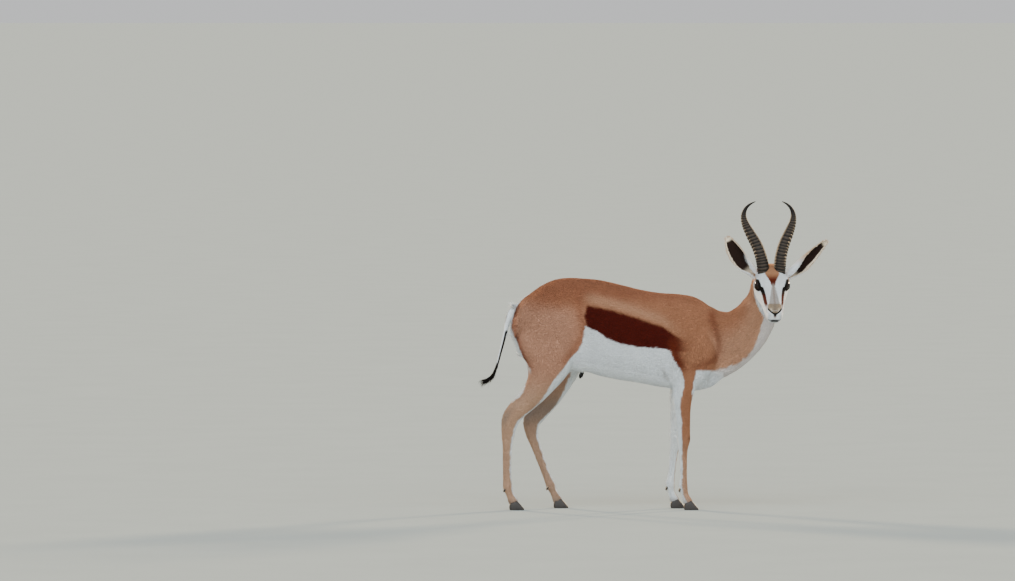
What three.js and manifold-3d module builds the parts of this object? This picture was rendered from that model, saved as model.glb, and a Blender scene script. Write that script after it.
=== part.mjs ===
// A springbok ram, life size, standing square to the viewer's right with its head turned to look at them.
// Millimetres. +X runs from the rump to the chest, +Y to the animal's left, +Z up, and the floor is Z = 0.
import * as THREE from "three";
import { mergeVertices } from "three/addons/utils/BufferGeometryUtils.js";
import Module from "manifold-3d";

const wasm = await Module();
wasm.setup();

// Driving dimensions
const gap = 0.3; // between two pieces that touch
const midline = 49; // the body's plane of symmetry, as a place along Y
const headPlace = [419, -25, 872]; // back of the skull, with the midline at Y = 0
const headYaw = 4.5; // degrees past square to the body, towards the chest
const headPitch = 42; // degrees that the nose points down
const eyeRadius = 18;
const hornRings = 22;

const finish = {
  fawn: new THREE.MeshStandardMaterial({ name: "fawn_coat", color: 0xa9714b, roughness: 0.85 }),
  pale: new THREE.MeshStandardMaterial({ name: "pale_coat", color: 0xb99a7c, roughness: 0.85 }),
  white: new THREE.MeshStandardMaterial({ name: "white_coat", color: 0xf1ede4, roughness: 0.85 }),
  tuft: new THREE.MeshStandardMaterial({ name: "black_tuft", color: 0x17110e, roughness: 0.7 }),
  horn: new THREE.MeshStandardMaterial({ name: "horn", color: 0x2b2826, roughness: 0.5 }),
  hoof: new THREE.MeshStandardMaterial({ name: "hoof", color: 0x1d1a19, roughness: 0.45 }),
  eye: new THREE.MeshStandardMaterial({ name: "eye", color: 0x140c08, roughness: 0.08 }),
};

// A smooth value between stations: a cubic through each column, with slopes taken from the neighbours.
function between(places, values, at) {
  const last = places.length - 1;
  let i = 0;
  while (i < last - 1 && at > places[i + 1]) i += 1;
  const slope = (k) => {
    const a = Math.max(0, k - 1);
    const b = Math.min(last, k + 1);
    return (values[b] - values[a]) / (places[b] - places[a]);
  };
  const span = places[i + 1] - places[i];
  const t = (at - places[i]) / span;
  const [t2, t3] = [t * t, t * t * t];
  return (
    (2 * t3 - 3 * t2 + 1) * values[i] +
    (t3 - 2 * t2 + t) * span * slope(i) +
    (3 * t2 - 2 * t3) * values[i + 1] +
    (t3 - t2) * span * slope(i + 1)
  );
}

const bell = (distance, reach) => Math.exp(-((distance / reach) ** 2));
const signedPower = (value, power) => Math.sign(value) * Math.abs(value) ** power;

// A closed surface from a grid of angle and length: a sphere's grid, with each vertex put
// where place(angle, length) says.
function surface(sides, rings, place) {
  const geometry = new THREE.SphereGeometry(1, sides, rings);
  const { position, uv } = geometry.attributes;
  for (let i = 0; i < position.count; i++) {
    const length = 1 - uv.getY(i);
    const pole = length < 1e-6 || length > 1 - 1e-6;
    const point = place(pole ? 0 : (uv.getX(i) % 1) * 2 * Math.PI, length, pole);
    position.setXYZ(i, point.x, point.y, point.z);
  }
  return geometry;
}

// The geometry as a solid, turned right side out.
function solid(geometry) {
  geometry.deleteAttribute("normal");
  geometry.deleteAttribute("uv");
  const merged = mergeVertices(geometry, 1e-4);
  const build = (triVerts) =>
    new wasm.Manifold(
      new wasm.Mesh({ numProp: 3, vertProperties: merged.attributes.position.array, triVerts }),
    );
  const made = build(new Uint32Array(merged.index.array));
  if (made.volume() > 0) return made;
  return build(new Uint32Array(merged.index.array).reverse());
}

const union = (pieces) => pieces.reduce((whole, piece) => whole.add(piece));
const largest = (body) =>
  body.decompose().reduce((best, piece) => (piece.volume() > best.volume() ? piece : best));

// A body along a straight axis: each station has its top, low and middle height and its half width.
// round sets how square the upper and the lower half of the section are, 2 for an ellipse.
function trunk(stations, { sides, rings, round = [2, 2], grow = 0, ease = 0.5, swell = () => 0 }) {
  const places = stations.map((s) => s.x);
  const column = (key) => stations.map((s) => s[key]);
  const [top, low, mid, half] = ["top", "low", "mid", "half"].map(column);
  const [first, last] = [places[0], places.at(-1)];
  return surface(sides, rings, (angle, length, pole) => {
    const eased = (1 - Math.cos(Math.PI * length)) / 2;
    const x = first + (last - first) * (ease * eased + (1 - ease) * length);
    const centre = between(places, mid, x);
    if (pole) return new THREE.Vector3(x + (length < 0.5 ? -grow : grow), 0, centre);
    const [side, up] = [Math.sin(angle), Math.cos(angle)];
    const power = 2 / (up > 0 ? round[0] : round[1]);
    const rise = up > 0 ? between(places, top, x) - centre : centre - between(places, low, x);
    const point = new THREE.Vector3(
      x,
      (between(places, half, x) + grow) * signedPower(side, power),
      centre + (rise + grow) * signedPower(up, power),
    );
    const out = swell(point, side, up);
    point.y += Math.sign(side) * out;
    return point;
  });
}

// A body along a curved path: each station has its place, its half depth along the front
// vector and its half width.
function limb(stations, { sides, rings, grow = 0, ends = 0 }) {
  const points = stations.map((s) => new THREE.Vector3(...s.at));
  const places = [0];
  for (let i = 1; i < points.length; i++)
    places.push(places[i - 1] + points[i].distanceTo(points[i - 1]));
  const read = (key, at) => between(places, stations.map((s) => s[key]), at);
  const axisRead = (key, at) =>
    new THREE.Vector3(...[0, 1, 2].map((k) => between(places, stations.map((s) => s[key][k]), at)));
  const total = places.at(-1);
  return surface(sides, rings, (angle, length, pole) => {
    const at = total * length;
    const centre = axisRead("at", at);
    const step = total / 400;
    const along = axisRead("at", Math.min(total, at + step))
      .sub(axisRead("at", Math.max(0, at - step)))
      .normalize();
    if (pole) return centre.addScaledVector(along, (length < 0.5 ? -1 : 1) * (ends + grow));
    const front = axisRead("front", at);
    front.addScaledVector(along, -front.dot(along)).normalize();
    const across = new THREE.Vector3().crossVectors(along, front);
    return centre
      .addScaledVector(front, (read("depth", at) + grow) * Math.cos(angle))
      .addScaledVector(across, (read("width", at) + grow) * Math.sin(angle));
  });
}

// Torso
const torsoStations = [
  { x: -509, top: 650, low: 646, mid: 648, half: 4 },
  { x: -500, top: 708, low: 600, mid: 650, half: 38 },
  { x: -480, top: 752, low: 556, mid: 652, half: 64 },
  { x: -443, top: 779, low: 520, mid: 654, half: 86 },
  { x: -400, top: 809, low: 500, mid: 656, half: 99 },
  { x: -353, top: 829, low: 496, mid: 656, half: 104 },
  { x: -299, top: 835, low: 496, mid: 654, half: 102 },
  { x: -241, top: 832, low: 495, mid: 646, half: 103 },
  { x: -191, top: 827, low: 481, mid: 634, half: 109 },
  { x: -119, top: 811, low: 466, mid: 622, half: 114 },
  { x: -47, top: 793, low: 455, mid: 610, half: 112 },
  { x: 25, top: 781, low: 441, mid: 600, half: 106 },
  { x: 97, top: 776, low: 430, mid: 592, half: 98 },
  { x: 151, top: 766, low: 427, mid: 590, half: 90 },
  { x: 195, top: 742, low: 434, mid: 590, half: 80 },
  { x: 235, top: 700, low: 456, mid: 592, half: 64 },
  { x: 268, top: 650, low: 500, mid: 594, half: 44 },
  { x: 285, top: 600, low: 585, mid: 594, half: 5 },
];
const muscles = [
  { x: -395, z: 640, reachX: 95, reachZ: 110, out: 9 }, // haunch
  { x: -445, z: 560, reachX: 60, reachZ: 60, out: 12 }, // back of the thigh
  { x: -262, z: 640, reachX: 42, reachZ: 90, out: -9 }, // flank hollow
  { x: 118, z: 600, reachX: 62, reachZ: 105, out: 11 }, // shoulder
  { x: 15, z: 560, reachX: 36, reachZ: 90, out: -4 }, // behind the elbow
  { x: 190, z: 640, reachX: 34, reachZ: 60, out: -5 }, // before the shoulder
];
const bodySwell = (p, side) => {
  const each = (m) => m.out * bell(p.x - m.x, m.reachX) * bell(p.z - m.z, m.reachZ);
  return muscles.reduce((sum, m) => sum + each(m), 0) * Math.abs(side);
};
const torsoForm = (sides, rings, grow = 0) =>
  trunk(torsoStations, {
    sides,
    rings,
    grow,
    round: [2.1, 2.15],
    ease: 0.55,
    swell: bodySwell,
  });

// Neck: turns from the body's long plane to the head's as it rises.
const neckStations = [
  { at: [128, 0, 588], depth: 150, width: 78, front: [0.25, 0, -1] },
  { at: [205, 0, 598], depth: 142, width: 78, front: [0.2, 0, -1] },
  { at: [270, 0, 612], depth: 114, width: 73, front: [0.45, 0, -0.9] },
  { at: [322, 1, 640], depth: 92, width: 67, front: [0.7, -0.1, -0.7] },
  { at: [362, 3, 683], depth: 79, width: 62, front: [0.85, -0.3, -0.45] },
  { at: [390, 5, 735], depth: 68, width: 59, front: [0.8, -0.6, -0.3] },
  { at: [402, -3, 776], depth: 55, width: 58, front: [0.45, -0.88, -0.25] },
  { at: [408, -15, 806], depth: 48, width: 57, front: [0.2, -0.85, -0.45] },
  { at: [412, -30, 830], depth: 41, width: 53, front: [0.1, -0.72, -0.68] },
  { at: [417, -48, 848], depth: 30, width: 42, front: [0.08, -0.6, -0.78] },
];
const neckForm = (sides, rings, grow = 0) => limb(neckStations, { sides, rings, grow, ends: 6 });

// Legs: rows of x, height, half depth and half width down the middle of each leg.
const hindNear = [
  [-388, 700, 60, 30],
  [-381, 640, 104, 46],
  [-376, 576, 109, 50],
  [-380, 520, 84, 47],
  [-404, 458, 54, 38],
  [-446, 403, 41, 30],
  [-488, 362, 36, 24],
  [-512, 328, 33, 21],
  [-521, 282, 26, 17],
  [-524, 230, 19, 13.5],
  [-526, 170, 16.5, 12.5],
  [-525, 112, 16, 13],
  [-523, 84, 18, 16.5],
  [-514, 54, 14.5, 15.5],
  [-503, 30, 18, 17],
  [-494, 14, 17, 15],
];
const hindFar = [
  [-374, 700, 60, 30],
  [-364, 640, 102, 46],
  [-350, 576, 106, 50],
  [-334, 520, 84, 47],
  [-344, 458, 54, 38],
  [-374, 400, 42, 30],
  [-410, 352, 37, 24],
  [-435, 316, 33, 21],
  [-436, 274, 25, 17],
  [-422, 226, 18.5, 13.5],
  [-402, 170, 16, 12.5],
  [-380, 112, 15.5, 13],
  [-368, 84, 18, 16.5],
  [-355, 54, 14.5, 15.5],
  [-343, 30, 18, 17],
  [-334, 14, 17, 15],
];
const foreNear = [
  [140, 690, 34, 16],
  [158, 620, 66, 32],
  [158, 560, 78, 42],
  [138, 505, 62, 38],
  [116, 457, 46, 32],
  [105, 410, 38, 27],
  [104, 367, 32, 23.5],
  [107, 320, 27, 20.5],
  [109, 277, 24.5, 19.5],
  [110, 252, 24, 19.5],
  [108, 223, 18.5, 16],
  [108, 187, 15, 13],
  [109, 151, 14, 12],
  [109, 115, 14, 12.5],
  [108, 86, 17, 16],
  [115, 54, 13.5, 15],
  [125, 30, 17, 17],
  [133, 14, 16, 15],
];
const foreFar = [
  [130, 690, 34, 16],
  [146, 620, 66, 32],
  [146, 560, 78, 42],
  [128, 505, 62, 38],
  [108, 457, 46, 32],
  [98, 410, 38, 27],
  [94, 367, 32, 23.5],
  [90, 320, 27, 20.5],
  [86, 277, 24.5, 19.5],
  [85, 252, 24, 19.5],
  [80, 223, 18.5, 16],
  [75, 187, 15, 13],
  [71, 151, 14, 12],
  [67, 115, 14, 12.5],
  [63, 86, 17, 16],
  [69, 54, 13.5, 15],
  [79, 30, 17, 17],
  [87, 14, 16, 15],
];
// How far from the midline a leg stands at each height.
const stance = {
  hind: (z) => between([0, 90, 320, 520, 700], [60, 60, 66, 66, 52], z),
  fore: (z) => between([0, 90, 250, 450, 700], [52, 53, 57, 62, 50], z),
};
const legs = [
  { name: "hind_leg_right", rows: hindNear, kind: "hind", side: -1 },
  { name: "hind_leg_left", rows: hindFar, kind: "hind", side: 1 },
  { name: "foreleg_right", rows: foreNear, kind: "fore", side: -1 },
  { name: "foreleg_left", rows: foreFar, kind: "fore", side: 1 },
];
const legForm = (leg, sides, rings, grow = 0) => {
  const stations = leg.rows.map(([x, z, depth, width]) => {
    const at = [x, leg.side * stance[leg.kind](z), z];
    return { at, depth, width, front: [1, 0, 0.05] };
  });
  return limb(stations, { sides, rings, grow });
};

// Head, along its own axis: x from the back of the skull to the nose, z up from the axis.
const headStations = [
  { x: -6, top: 6, low: -8, mid: 0, half: 6 },
  { x: 6, top: 26, low: -32, mid: 0, half: 34 },
  { x: 30, top: 40, low: -56, mid: 0, half: 49 },
  { x: 55, top: 46, low: -74, mid: 1, half: 57 },
  { x: 82, top: 46, low: -81, mid: 2, half: 60 },
  { x: 104, top: 43, low: -81, mid: -2, half: 58.5 },
  { x: 126, top: 37, low: -76, mid: -10, half: 52.5 },
  { x: 152, top: 30, low: -67, mid: -16, half: 45 },
  { x: 180, top: 25, low: -58, mid: -18, half: 39 },
  { x: 204, top: 22, low: -52, mid: -16, half: 34 },
  { x: 222, top: 20, low: -50, mid: -14, half: 31 },
  { x: 236, top: 16, low: -47, mid: -13, half: 27 },
  { x: 244, top: 8, low: -38, mid: -13, half: 20 },
  { x: 247, top: -10, low: -12, mid: -11, half: 1 },
];
const eyePlace = { x: 104, y: 45.5, z: 13 };
const faceForms = [
  { x: 100, y: 58, z: 15, reach: 24, out: 5 }, // mound round the eye
  { x: 86, y: 54, z: 30, reach: 16, out: 3 }, // brow
  { x: 128, y: 40, z: 2, reach: 18, out: -3 }, // hollow below the eye
  { x: 80, y: 48, z: -40, reach: 32, out: 4 }, // jaw muscle
  { x: 150, y: 28, z: -34, reach: 22, out: -3 }, // behind the lips
  { x: 212, y: 24, z: -6, reach: 13, out: 2.5 }, // wing of the nostril
];
const faceSwell = (p, side) => {
  const each = (f) => f.out * bell(Math.hypot(p.x - f.x, Math.abs(p.y) - f.y, p.z - f.z), f.reach);
  return faceForms.reduce((sum, f) => sum + each(f), 0) * Math.min(1, 3 * Math.abs(side));
};
const headForm = (sides, rings, grow = 0) =>
  trunk(headStations, { sides, rings, grow, round: [2.15, 2.3], swell: faceSwell });

// The head's own frame in the body's.
const yaw = THREE.MathUtils.degToRad(headYaw);
const pitch = THREE.MathUtils.degToRad(headPitch);
const ahead = new THREE.Vector3(Math.sin(yaw), -Math.cos(yaw), 0);
const leftward = new THREE.Vector3(Math.cos(yaw), Math.sin(yaw), 0);
const upward = new THREE.Vector3(0, 0, 1);
const noseward = ahead.clone().multiplyScalar(Math.cos(pitch)).addScaledVector(upward, -Math.sin(pitch));
const crownward = ahead.clone().multiplyScalar(Math.sin(pitch)).addScaledVector(upward, Math.cos(pitch));
const headFrame = new THREE.Matrix4()
  .makeBasis(noseward, leftward, crownward)
  .setPosition(...headPlace);
const fromHead = (x, y, z) => new THREE.Vector3(x, y, z).applyMatrix4(headFrame);
// A place given as across to the head's left, back from it and up, with the head's turn but not its nod.
const besideHead = (from, across, back, up) =>
  from.clone().addScaledVector(leftward, across).addScaledVector(ahead, -back).addScaledVector(upward, up);

// Eyelids: a thin shell over the ball, opened along an almond that slants towards the nose.
const lids = { long: 33, high: 21, slant: 24, forward: 28, upward: 18, thick: 1.8, reach: 40 };
const sphereAtEye = (side, radius) => {
  const ball = new THREE.SphereGeometry(radius, 14, 10);
  return ball.translate(eyePlace.x, side * eyePlace.y, eyePlace.z);
};
function almond(side) {
  const { long, high } = lids;
  const radius = (long * long) / (4 * high) + high / 4;
  const half = Math.asin(long / 2 / radius);
  const shape = new THREE.Shape();
  shape.absarc(0, high / 2 - radius, radius, Math.PI / 2 - half, Math.PI / 2 + half, false);
  shape.absarc(0, radius - high / 2, radius, -Math.PI / 2 - half, -Math.PI / 2 + half, false);
  const geometry = new THREE.ExtrudeGeometry(shape, {
    depth: lids.reach,
    curveSegments: 5,
    bevelEnabled: false,
  });
  const [slant, forward, up] = [lids.slant, lids.forward, lids.upward].map(THREE.MathUtils.degToRad);
  geometry.rotateZ(slant);
  geometry.rotateX(-Math.PI / 2 + up);
  geometry.rotateZ(-forward);
  geometry.translate(eyePlace.x, eyePlace.y, eyePlace.z);
  return geometry.scale(1, side, 1);
}

// A thin groove or slit along a path of points, for the mouth and the nostrils.
const slit = (points, { depth, width }) =>
  limb(
    points.map((at, i) => {
      const taper = i === 0 || i === points.length - 1 ? 0.4 : 1;
      return { at, depth: depth * taper, width: width * taper, front: [0.2, 0, 1] };
    }),
    { sides: 6, rings: 12 },
  );
const mouthSlit = { depth: 1.5, width: 2 };
const nostrilSlit = { depth: 5, width: 2.2 };
const mouthHalf = (side) => [
  [172, side * 40, -33],
  [188, side * 36.5, -31.5],
  [206, side * 32.5, -30],
  [226, side * 27, -28.5],
  [240, side * 20, -27.5],
];
const mouth = () => [
  ...mouthHalf(1),
  [246.5, 0, -26],
  ...mouthHalf(-1).reverse(),
];
const nostril = (side) => [
  [224, side * 26, 7],
  [233, side * 24, 5],
  [241, side * 18, 2],
  [246.5, side * 7, -4],
];

// Ears: a leaf rolled into a cup, wide open at the middle.
const earRows = [
  // along the ear, radius of the roll, half opening in degrees, thickness
  [-0.12, 15, 170, 7],
  [0.0, 17, 165, 6],
  [0.12, 19, 155, 5],
  [0.27, 25, 118, 4],
  [0.43, 30, 86, 3.4],
  [0.6, 31, 68, 3],
  [0.76, 28, 55, 2.8],
  [0.89, 22, 45, 2.4],
  [0.97, 14, 42, 2],
  [1.0, 6, 34, 1.6],
];
const earSink = 0.55; // how far the ear's axis lies in front of its back, as a share of the roll
function earForm({ root, tip, bend, open }, sides, rings) {
  const path = new THREE.QuadraticBezierCurve3(root, bend, tip);
  const at = earRows.map((r) => r[0]);
  const column = (k) => earRows.map((r) => r[k]);
  return surface(sides, rings, (angle, length, pole) => {
    const along = at[0] + (1 - at[0]) * length;
    const t = Math.min(1, Math.max(0, along));
    const centre = path.getPoint(t);
    const forward = path.getTangent(t);
    centre.addScaledVector(forward, Math.min(0, along) * root.distanceTo(tip));
    const face = open.clone().addScaledVector(forward, -open.dot(forward)).normalize();
    const across = new THREE.Vector3().crossVectors(forward, face);
    const radius = between(at, column(1), along);
    const half = THREE.MathUtils.degToRad(between(at, column(2), along));
    const wall = between(at, column(3), along);
    // The first half turn runs across the back of the ear, the second returns inside the cup.
    const turn = angle / Math.PI;
    const inside = turn > 1;
    const sweep = pole ? 0 : (inside ? 3 - 2 * turn : 2 * turn - 1) * half;
    const r = radius + (pole ? -wall / 2 : inside ? -wall : 0);
    return centre
      .addScaledVector(across, r * Math.sin(sweep))
      .addScaledVector(face, earSink * radius - r * Math.cos(sweep));
  });
}
const skull = new THREE.Vector3(...headPlace);
const ears = [
  {
    name: "ear_right",
    root: besideHead(skull, -41, -14, -31),
    bend: besideHead(skull, -133, 6, 50),
    tip: besideHead(skull, -150, 28, 110),
    open: ahead.clone().addScaledVector(leftward, -0.4).addScaledVector(upward, -0.15),
  },
  {
    name: "ear_left",
    root: besideHead(skull, 47, -14, -31),
    bend: besideHead(skull, 147, 4, 34),
    tip: besideHead(skull, 214, 24, 94),
    open: ahead.clone().addScaledVector(leftward, 0.6).addScaledVector(upward, -0.65),
  },
];

// Horns: rows of across, back, up and radius from the middle of the two roots, ringed on the lower part.
const hornRows = [
  [27, 2, -30, 20],
  [29.5, 0, 0, 21.5],
  [34.5, 14, 38, 21],
  [47, 37, 80, 20.2],
  [68, 65, 123, 17.6],
  [84.5, 85, 159, 13.4],
  [90, 95, 188, 9.6],
  [84, 97, 211, 6.6],
  [69, 93, 228, 4],
  [48, 85, 240, 1.2],
];
const hornMiddle = fromHead(46, 0, 38);
const ringed = 0.74; // share of the horn that has rings
const crestHeight = 1.9; // of a ring at the root
const hornDeeper = 1.06; // depth of the horn's section over its width
const wornMean = 0.65; // a ring's height at the sides, with the front 1 and the back nearly flat
function hornForm(side, sides, ringsToTip) {
  const points = hornRows.map(([across, back, up]) => besideHead(hornMiddle, side * across, back, up));
  const path = new THREE.CatmullRomCurve3(points, false, "centripetal");
  const rows = hornRings * 2;
  const share = hornRows.map((row, i) => i / (hornRows.length - 1));
  const radii = hornRows.map((row) => row[3]);
  const rings = rows + ringsToTip;
  return surface(sides, rings, (angle, length, pole) => {
    const row = Math.round(length * rings);
    const t = row <= rows ? (ringed * row) / rows : ringed + ((1 - ringed) * (row - rows)) / ringsToTip;
    const centre = path.getPoint(t);
    if (pole) return centre;
    const along = path.getTangent(t);
    const outer = leftward.clone().multiplyScalar(side);
    outer.addScaledVector(along, -outer.dot(along)).normalize();
    const front = new THREE.Vector3().crossVectors(along, outer);
    const crest = row % 2 === 1 && row < rows ? crestHeight * (1 - t / 2) : 0;
    const worn = wornMean + (1 - wornMean) * Math.cos(angle);
    const r = between(share, radii, t) + crest * worn;
    return centre
      .addScaledVector(front, -side * hornDeeper * r * Math.cos(angle))
      .addScaledVector(outer, r * Math.sin(angle));
  });
}

// Tail: hangs from the rump and swings back. Rows of x, height, half depth and half width of its core.
const tailRows = [
  [-462, 722, 16, 17],
  [-490, 726, 16, 17],
  [-511, 706, 15, 16],
  [-524, 672, 11.5, 13.5],
  [-531, 640, 8.5, 9.5],
  [-540, 602, 7.5, 8],
  [-552, 556, 6.5, 6.5],
  [-562, 518, 5.5, 5.5],
  [-571, 495, 4.5, 4.5],
  [-584, 478, 3, 3],
  [-598, 467, 1, 1],
];
const tailFront = [1, 0, 0.4];
const tailForm = (sides, rings) =>
  limb(
    tailRows.map(([x, z, depth, width]) => ({ at: [x, 0, z], depth, width, front: tailFront })),
    { sides, rings },
  );

// Locks of hair on the tail, each flat and tapered. It is rooted in the core, leaves on the side that
// turn gives in degrees from the front, and bends back to lie along the tail.
const tailPath = new THREE.CatmullRomCurve3(
  [...tailRows.map(([x, z]) => new THREE.Vector3(x, 0, z)), new THREE.Vector3(-622, 0, 452)],
  false,
  "centripetal",
);
function lock({ from, to, turn, spread, wide, thick }) {
  const stations = [0, 0.25, 0.55, 0.8, 1].map((share) => {
    const t = from + (to - from) * share;
    const along = tailPath.getTangentAt(t);
    const front = new THREE.Vector3(...tailFront);
    front.addScaledVector(along, -front.dot(along)).normalize();
    front.applyAxisAngle(along, THREE.MathUtils.degToRad(turn));
    const at = tailPath.getPointAt(t).addScaledVector(front, spread * share ** 0.8);
    const taper = share === 1 ? 0.12 : 1 - 0.55 * share;
    return { at: at.toArray(), depth: thick * taper, width: wide * taper, front: front.toArray() };
  });
  return limb(stations, { sides: 5, rings: 5 });
}
// The random draw is a seeded one.
let seed = 7;
const draw = (low, high) => {
  seed = (seed * 16807) % 2147483647;
  return low + ((high - low) * seed) / 2147483647;
};
const tuftLocks = 14;
const fringeLocks = 9;
const goldenTurn = 137.5;
const tailLocks = () => [
  // the tuft, all round the tip
  ...Array.from({ length: tuftLocks }, (_, i) => ({
    from: 0.7 + (0.17 * i) / tuftLocks,
    to: i === 0 ? 1 : draw(0.9, 0.995),
    turn: i * goldenTurn,
    spread: draw(5, 11),
    wide: 5,
    thick: 3.2,
  })),
  // the fringe, down the front
  ...Array.from({ length: fringeLocks }, (_, i) => ({
    from: 0.4 + (0.3 * i) / fringeLocks,
    to: 0.51 + (0.3 * i) / fringeLocks,
    turn: draw(-35, 35),
    spread: draw(8, 11),
    wide: 4,
    thick: 2.5,
  })),
  // the end of the long white hair, at the back
  { from: 0.22, to: 0.36, turn: 165, spread: 17, wide: 6, thick: 4 },
  { from: 0.26, to: 0.39, turn: 195, spread: 15, wide: 6, thick: 4 },
];

// Hooves: two to a foot, each a wedge that is pointed in front, with a flat sole.
const hoofStations = [
  { x: -21, top: 16, low: 6, mid: 9, half: 2 },
  { x: -17, top: 25, low: -1, mid: 9, half: 6.5 },
  { x: -6, top: 36, low: -3, mid: 9, half: 8.6 },
  { x: 6, top: 34, low: -3, mid: 9, half: 8.6 },
  { x: 19, top: 21, low: -3, mid: 7, half: 6.8 },
  { x: 28, top: 10, low: -2, mid: 4, half: 3.8 },
  { x: 33, top: 4, low: 0, mid: 2, half: 1 },
];
const hoofForm = () => trunk(hoofStations, { sides: 10, rings: 7, round: [2.2, 4], ease: 0.5 });

const toeSpread = 9.2; // from the middle of the foot to the middle of each toe
const toeTurn = 4; // degrees that each toe points outwards
const toeAhead = 6; // from the foot's own line
// The slanted plane where the skin ends and the hooves begin: its height at the toe and its slope.
const coronet = { height: 27, slope: -22 };

// Dew claws, behind the joint above the hoof: rows of how far back, height and half thickness.
const dewclawSpread = 9;
const dewclawRows = [
  [6, 80, 4.5],
  [11, 74, 4.6],
  [14, 68, 3.5],
  [14.5, 63, 1.2],
];

// Parts a body in two at a placed box: what is inside, and the rest less a thin gap.
function partAt(body, place, size) {
  const box = (grow) => {
    const geometry = new THREE.BoxGeometry(...size.map((length) => length + 2 * grow));
    return solid(geometry.applyMatrix4(place));
  };
  return [largest(body.intersect(box(0))), largest(body.subtract(box(gap)))];
}
// A place with a tilt about Y in degrees, and a place in the head's own frame.
const tilted = (x, y, z, degrees = 0) =>
  new THREE.Matrix4().makeRotationY(THREE.MathUtils.degToRad(degrees)).setPosition(x, y, z);
const alongHead = (x, y, z) => headFrame.clone().multiply(new THREE.Matrix4().makeTranslation(x, y, z));

const springbok = new THREE.Group();
springbok.position.y = midline;

function show(name, body, material) {
  const { vertProperties, triVerts } = body.getMesh();
  const geometry = new THREE.BufferGeometry();
  geometry.setAttribute("position", new THREE.BufferAttribute(vertProperties, 3));
  geometry.setIndex(new THREE.BufferAttribute(triVerts, 1));
  const mesh = new THREE.Mesh(geometry, material);
  mesh.name = name;
  springbok.add(mesh);
}

// Head with its eye sockets, lids, mouth and nostrils, still in one piece with the neck and body.
const inHead = (geometry) => solid(geometry.applyMatrix4(headFrame));
let head = inHead(headForm(30, 28));
for (const side of [-1, 1]) {
  head = head.add(inHead(sphereAtEye(side, eyeRadius + lids.thick)));
  head = head.subtract(inHead(sphereAtEye(side, eyeRadius + gap)));
  head = largest(head.subtract(inHead(almond(side))));
  head = head.subtract(inHead(slit(nostril(side), nostrilSlit)));
}
head = head.subtract(inHead(slit(mouth(), mouthSlit)));

const torso = solid(torsoForm(22, 26));
const neck = solid(neckForm(20, 13));
let body = union([torso, neck, head, ...legs.map((leg) => solid(legForm(leg, 12, 30)))]);

// Each leg comes off at the body, then parts again below the hock or knee and above the hooves.
const cuts = {
  hind: { x: -400, reach: 420, top: 470, knee: 292, foot: 96 },
  fore: { x: 110, reach: 260, top: 422, knee: 236, foot: 96 },
};
const halfSpace = { middle: 107, width: 212 }; // one side of the body, across
const below = 200; // how far a cutting box reaches past what it cuts
for (const leg of legs) {
  const cut = cuts[leg.kind];
  const ankle = leg.rows.at(-4);
  const toe = leg.rows.at(-2);
  const sideways = leg.side * stance[leg.kind](0);
  const under = (height) => {
    const place = tilted(cut.x, leg.side * halfSpace.middle, (height - below) / 2);
    return [place, [cut.reach, halfSpace.width, height + below]];
  };
  const footBox = [below, below / 2, below];
  const underCoronet = (drop) => {
    const place = tilted(toe[0], sideways, coronet.height - drop, coronet.slope);
    return [place.multiply(new THREE.Matrix4().makeTranslation(0, 0, -below / 2)), footBox];
  };
  let limbPiece, upper, lower, foot;
  [limbPiece, body] = partAt(body, ...under(cut.top));
  [lower, upper] = partAt(limbPiece, ...under(cut.knee));
  [foot, lower] = partAt(lower, ...under(cut.foot));
  [, foot] = partAt(foot, ...underCoronet(0));
  show(leg.name, upper, finish.fawn);
  show(leg.name + "_cannon", lower, finish.pale);
  for (const [claws, way] of [["outer", 1], ["inner", -1]]) {
    const y = sideways + leg.side * way * dewclawSpread;
    const stations = dewclawRows.map(([back, z, thick]) => {
      return { at: [ankle[0] - back, y, z], depth: thick, width: thick, front: [1, 0, 0] };
    });
    const claw = limb(stations, { sides: 6, rings: 4 });
    const grown = solid(legForm(leg, 12, 30, gap));
    show(`dewclaw_${claws}_${leg.name}`, largest(solid(claw).subtract(grown)), finish.hoof);
  }
  show(leg.name + "_foot", foot, finish.pale);
  for (const [toes, way] of [["outer", 1], ["inner", -1]]) {
    const hoof = hoofForm();
    hoof.rotateZ(THREE.MathUtils.degToRad(leg.side * way * toeTurn));
    hoof.translate(toe[0] + toeAhead, sideways + leg.side * way * toeSpread, 0);
    const [topped] = partAt(solid(hoof), ...underCoronet(gap));
    const [standing] = partAt(topped, tilted(toe[0], sideways, below / 2), footBox);
    show(`hoof_${toes}_${leg.name}`, standing, finish.hoof);
  }
}

// Neck and head come off the body in turn.
const neckCut = { place: tilted(460, 0, 760, -38), size: [460, 500, 700] };
const headCut = { place: alongHead(158, 0, 8), size: [300, 240, 184] };
let neckPiece, headPiece;
[neckPiece, body] = partAt(body, neckCut.place, neckCut.size);
show("torso", body, finish.fawn);
[headPiece, neckPiece] = partAt(neckPiece, headCut.place, headCut.size);
show("neck", neckPiece, finish.fawn);
show("head", headPiece, finish.white);

const headClear = inHead(headForm(30, 28, gap));
const neckClear = solid(neckForm(20, 13, gap));
for (const [name, side] of [["left", 1], ["right", -1]]) {
  show("eye_" + name, inHead(sphereAtEye(side, eyeRadius)), finish.eye);
  show("horn_" + name, largest(solid(hornForm(side, 10, 6)).subtract(headClear)), finish.horn);
}
for (const ear of ears) {
  const cup = solid(earForm(ear, 16, 11));
  show(ear.name, largest(cup.subtract(headClear).subtract(neckClear)), finish.pale);
}

const torsoClear = solid(torsoForm(22, 26, gap));
const hairyTail = union([solid(tailForm(10, 20)), ...tailLocks().map((each) => solid(lock(each)))]);
show("tail", largest(hairyTail.subtract(torsoClear)), finish.white);

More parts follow.
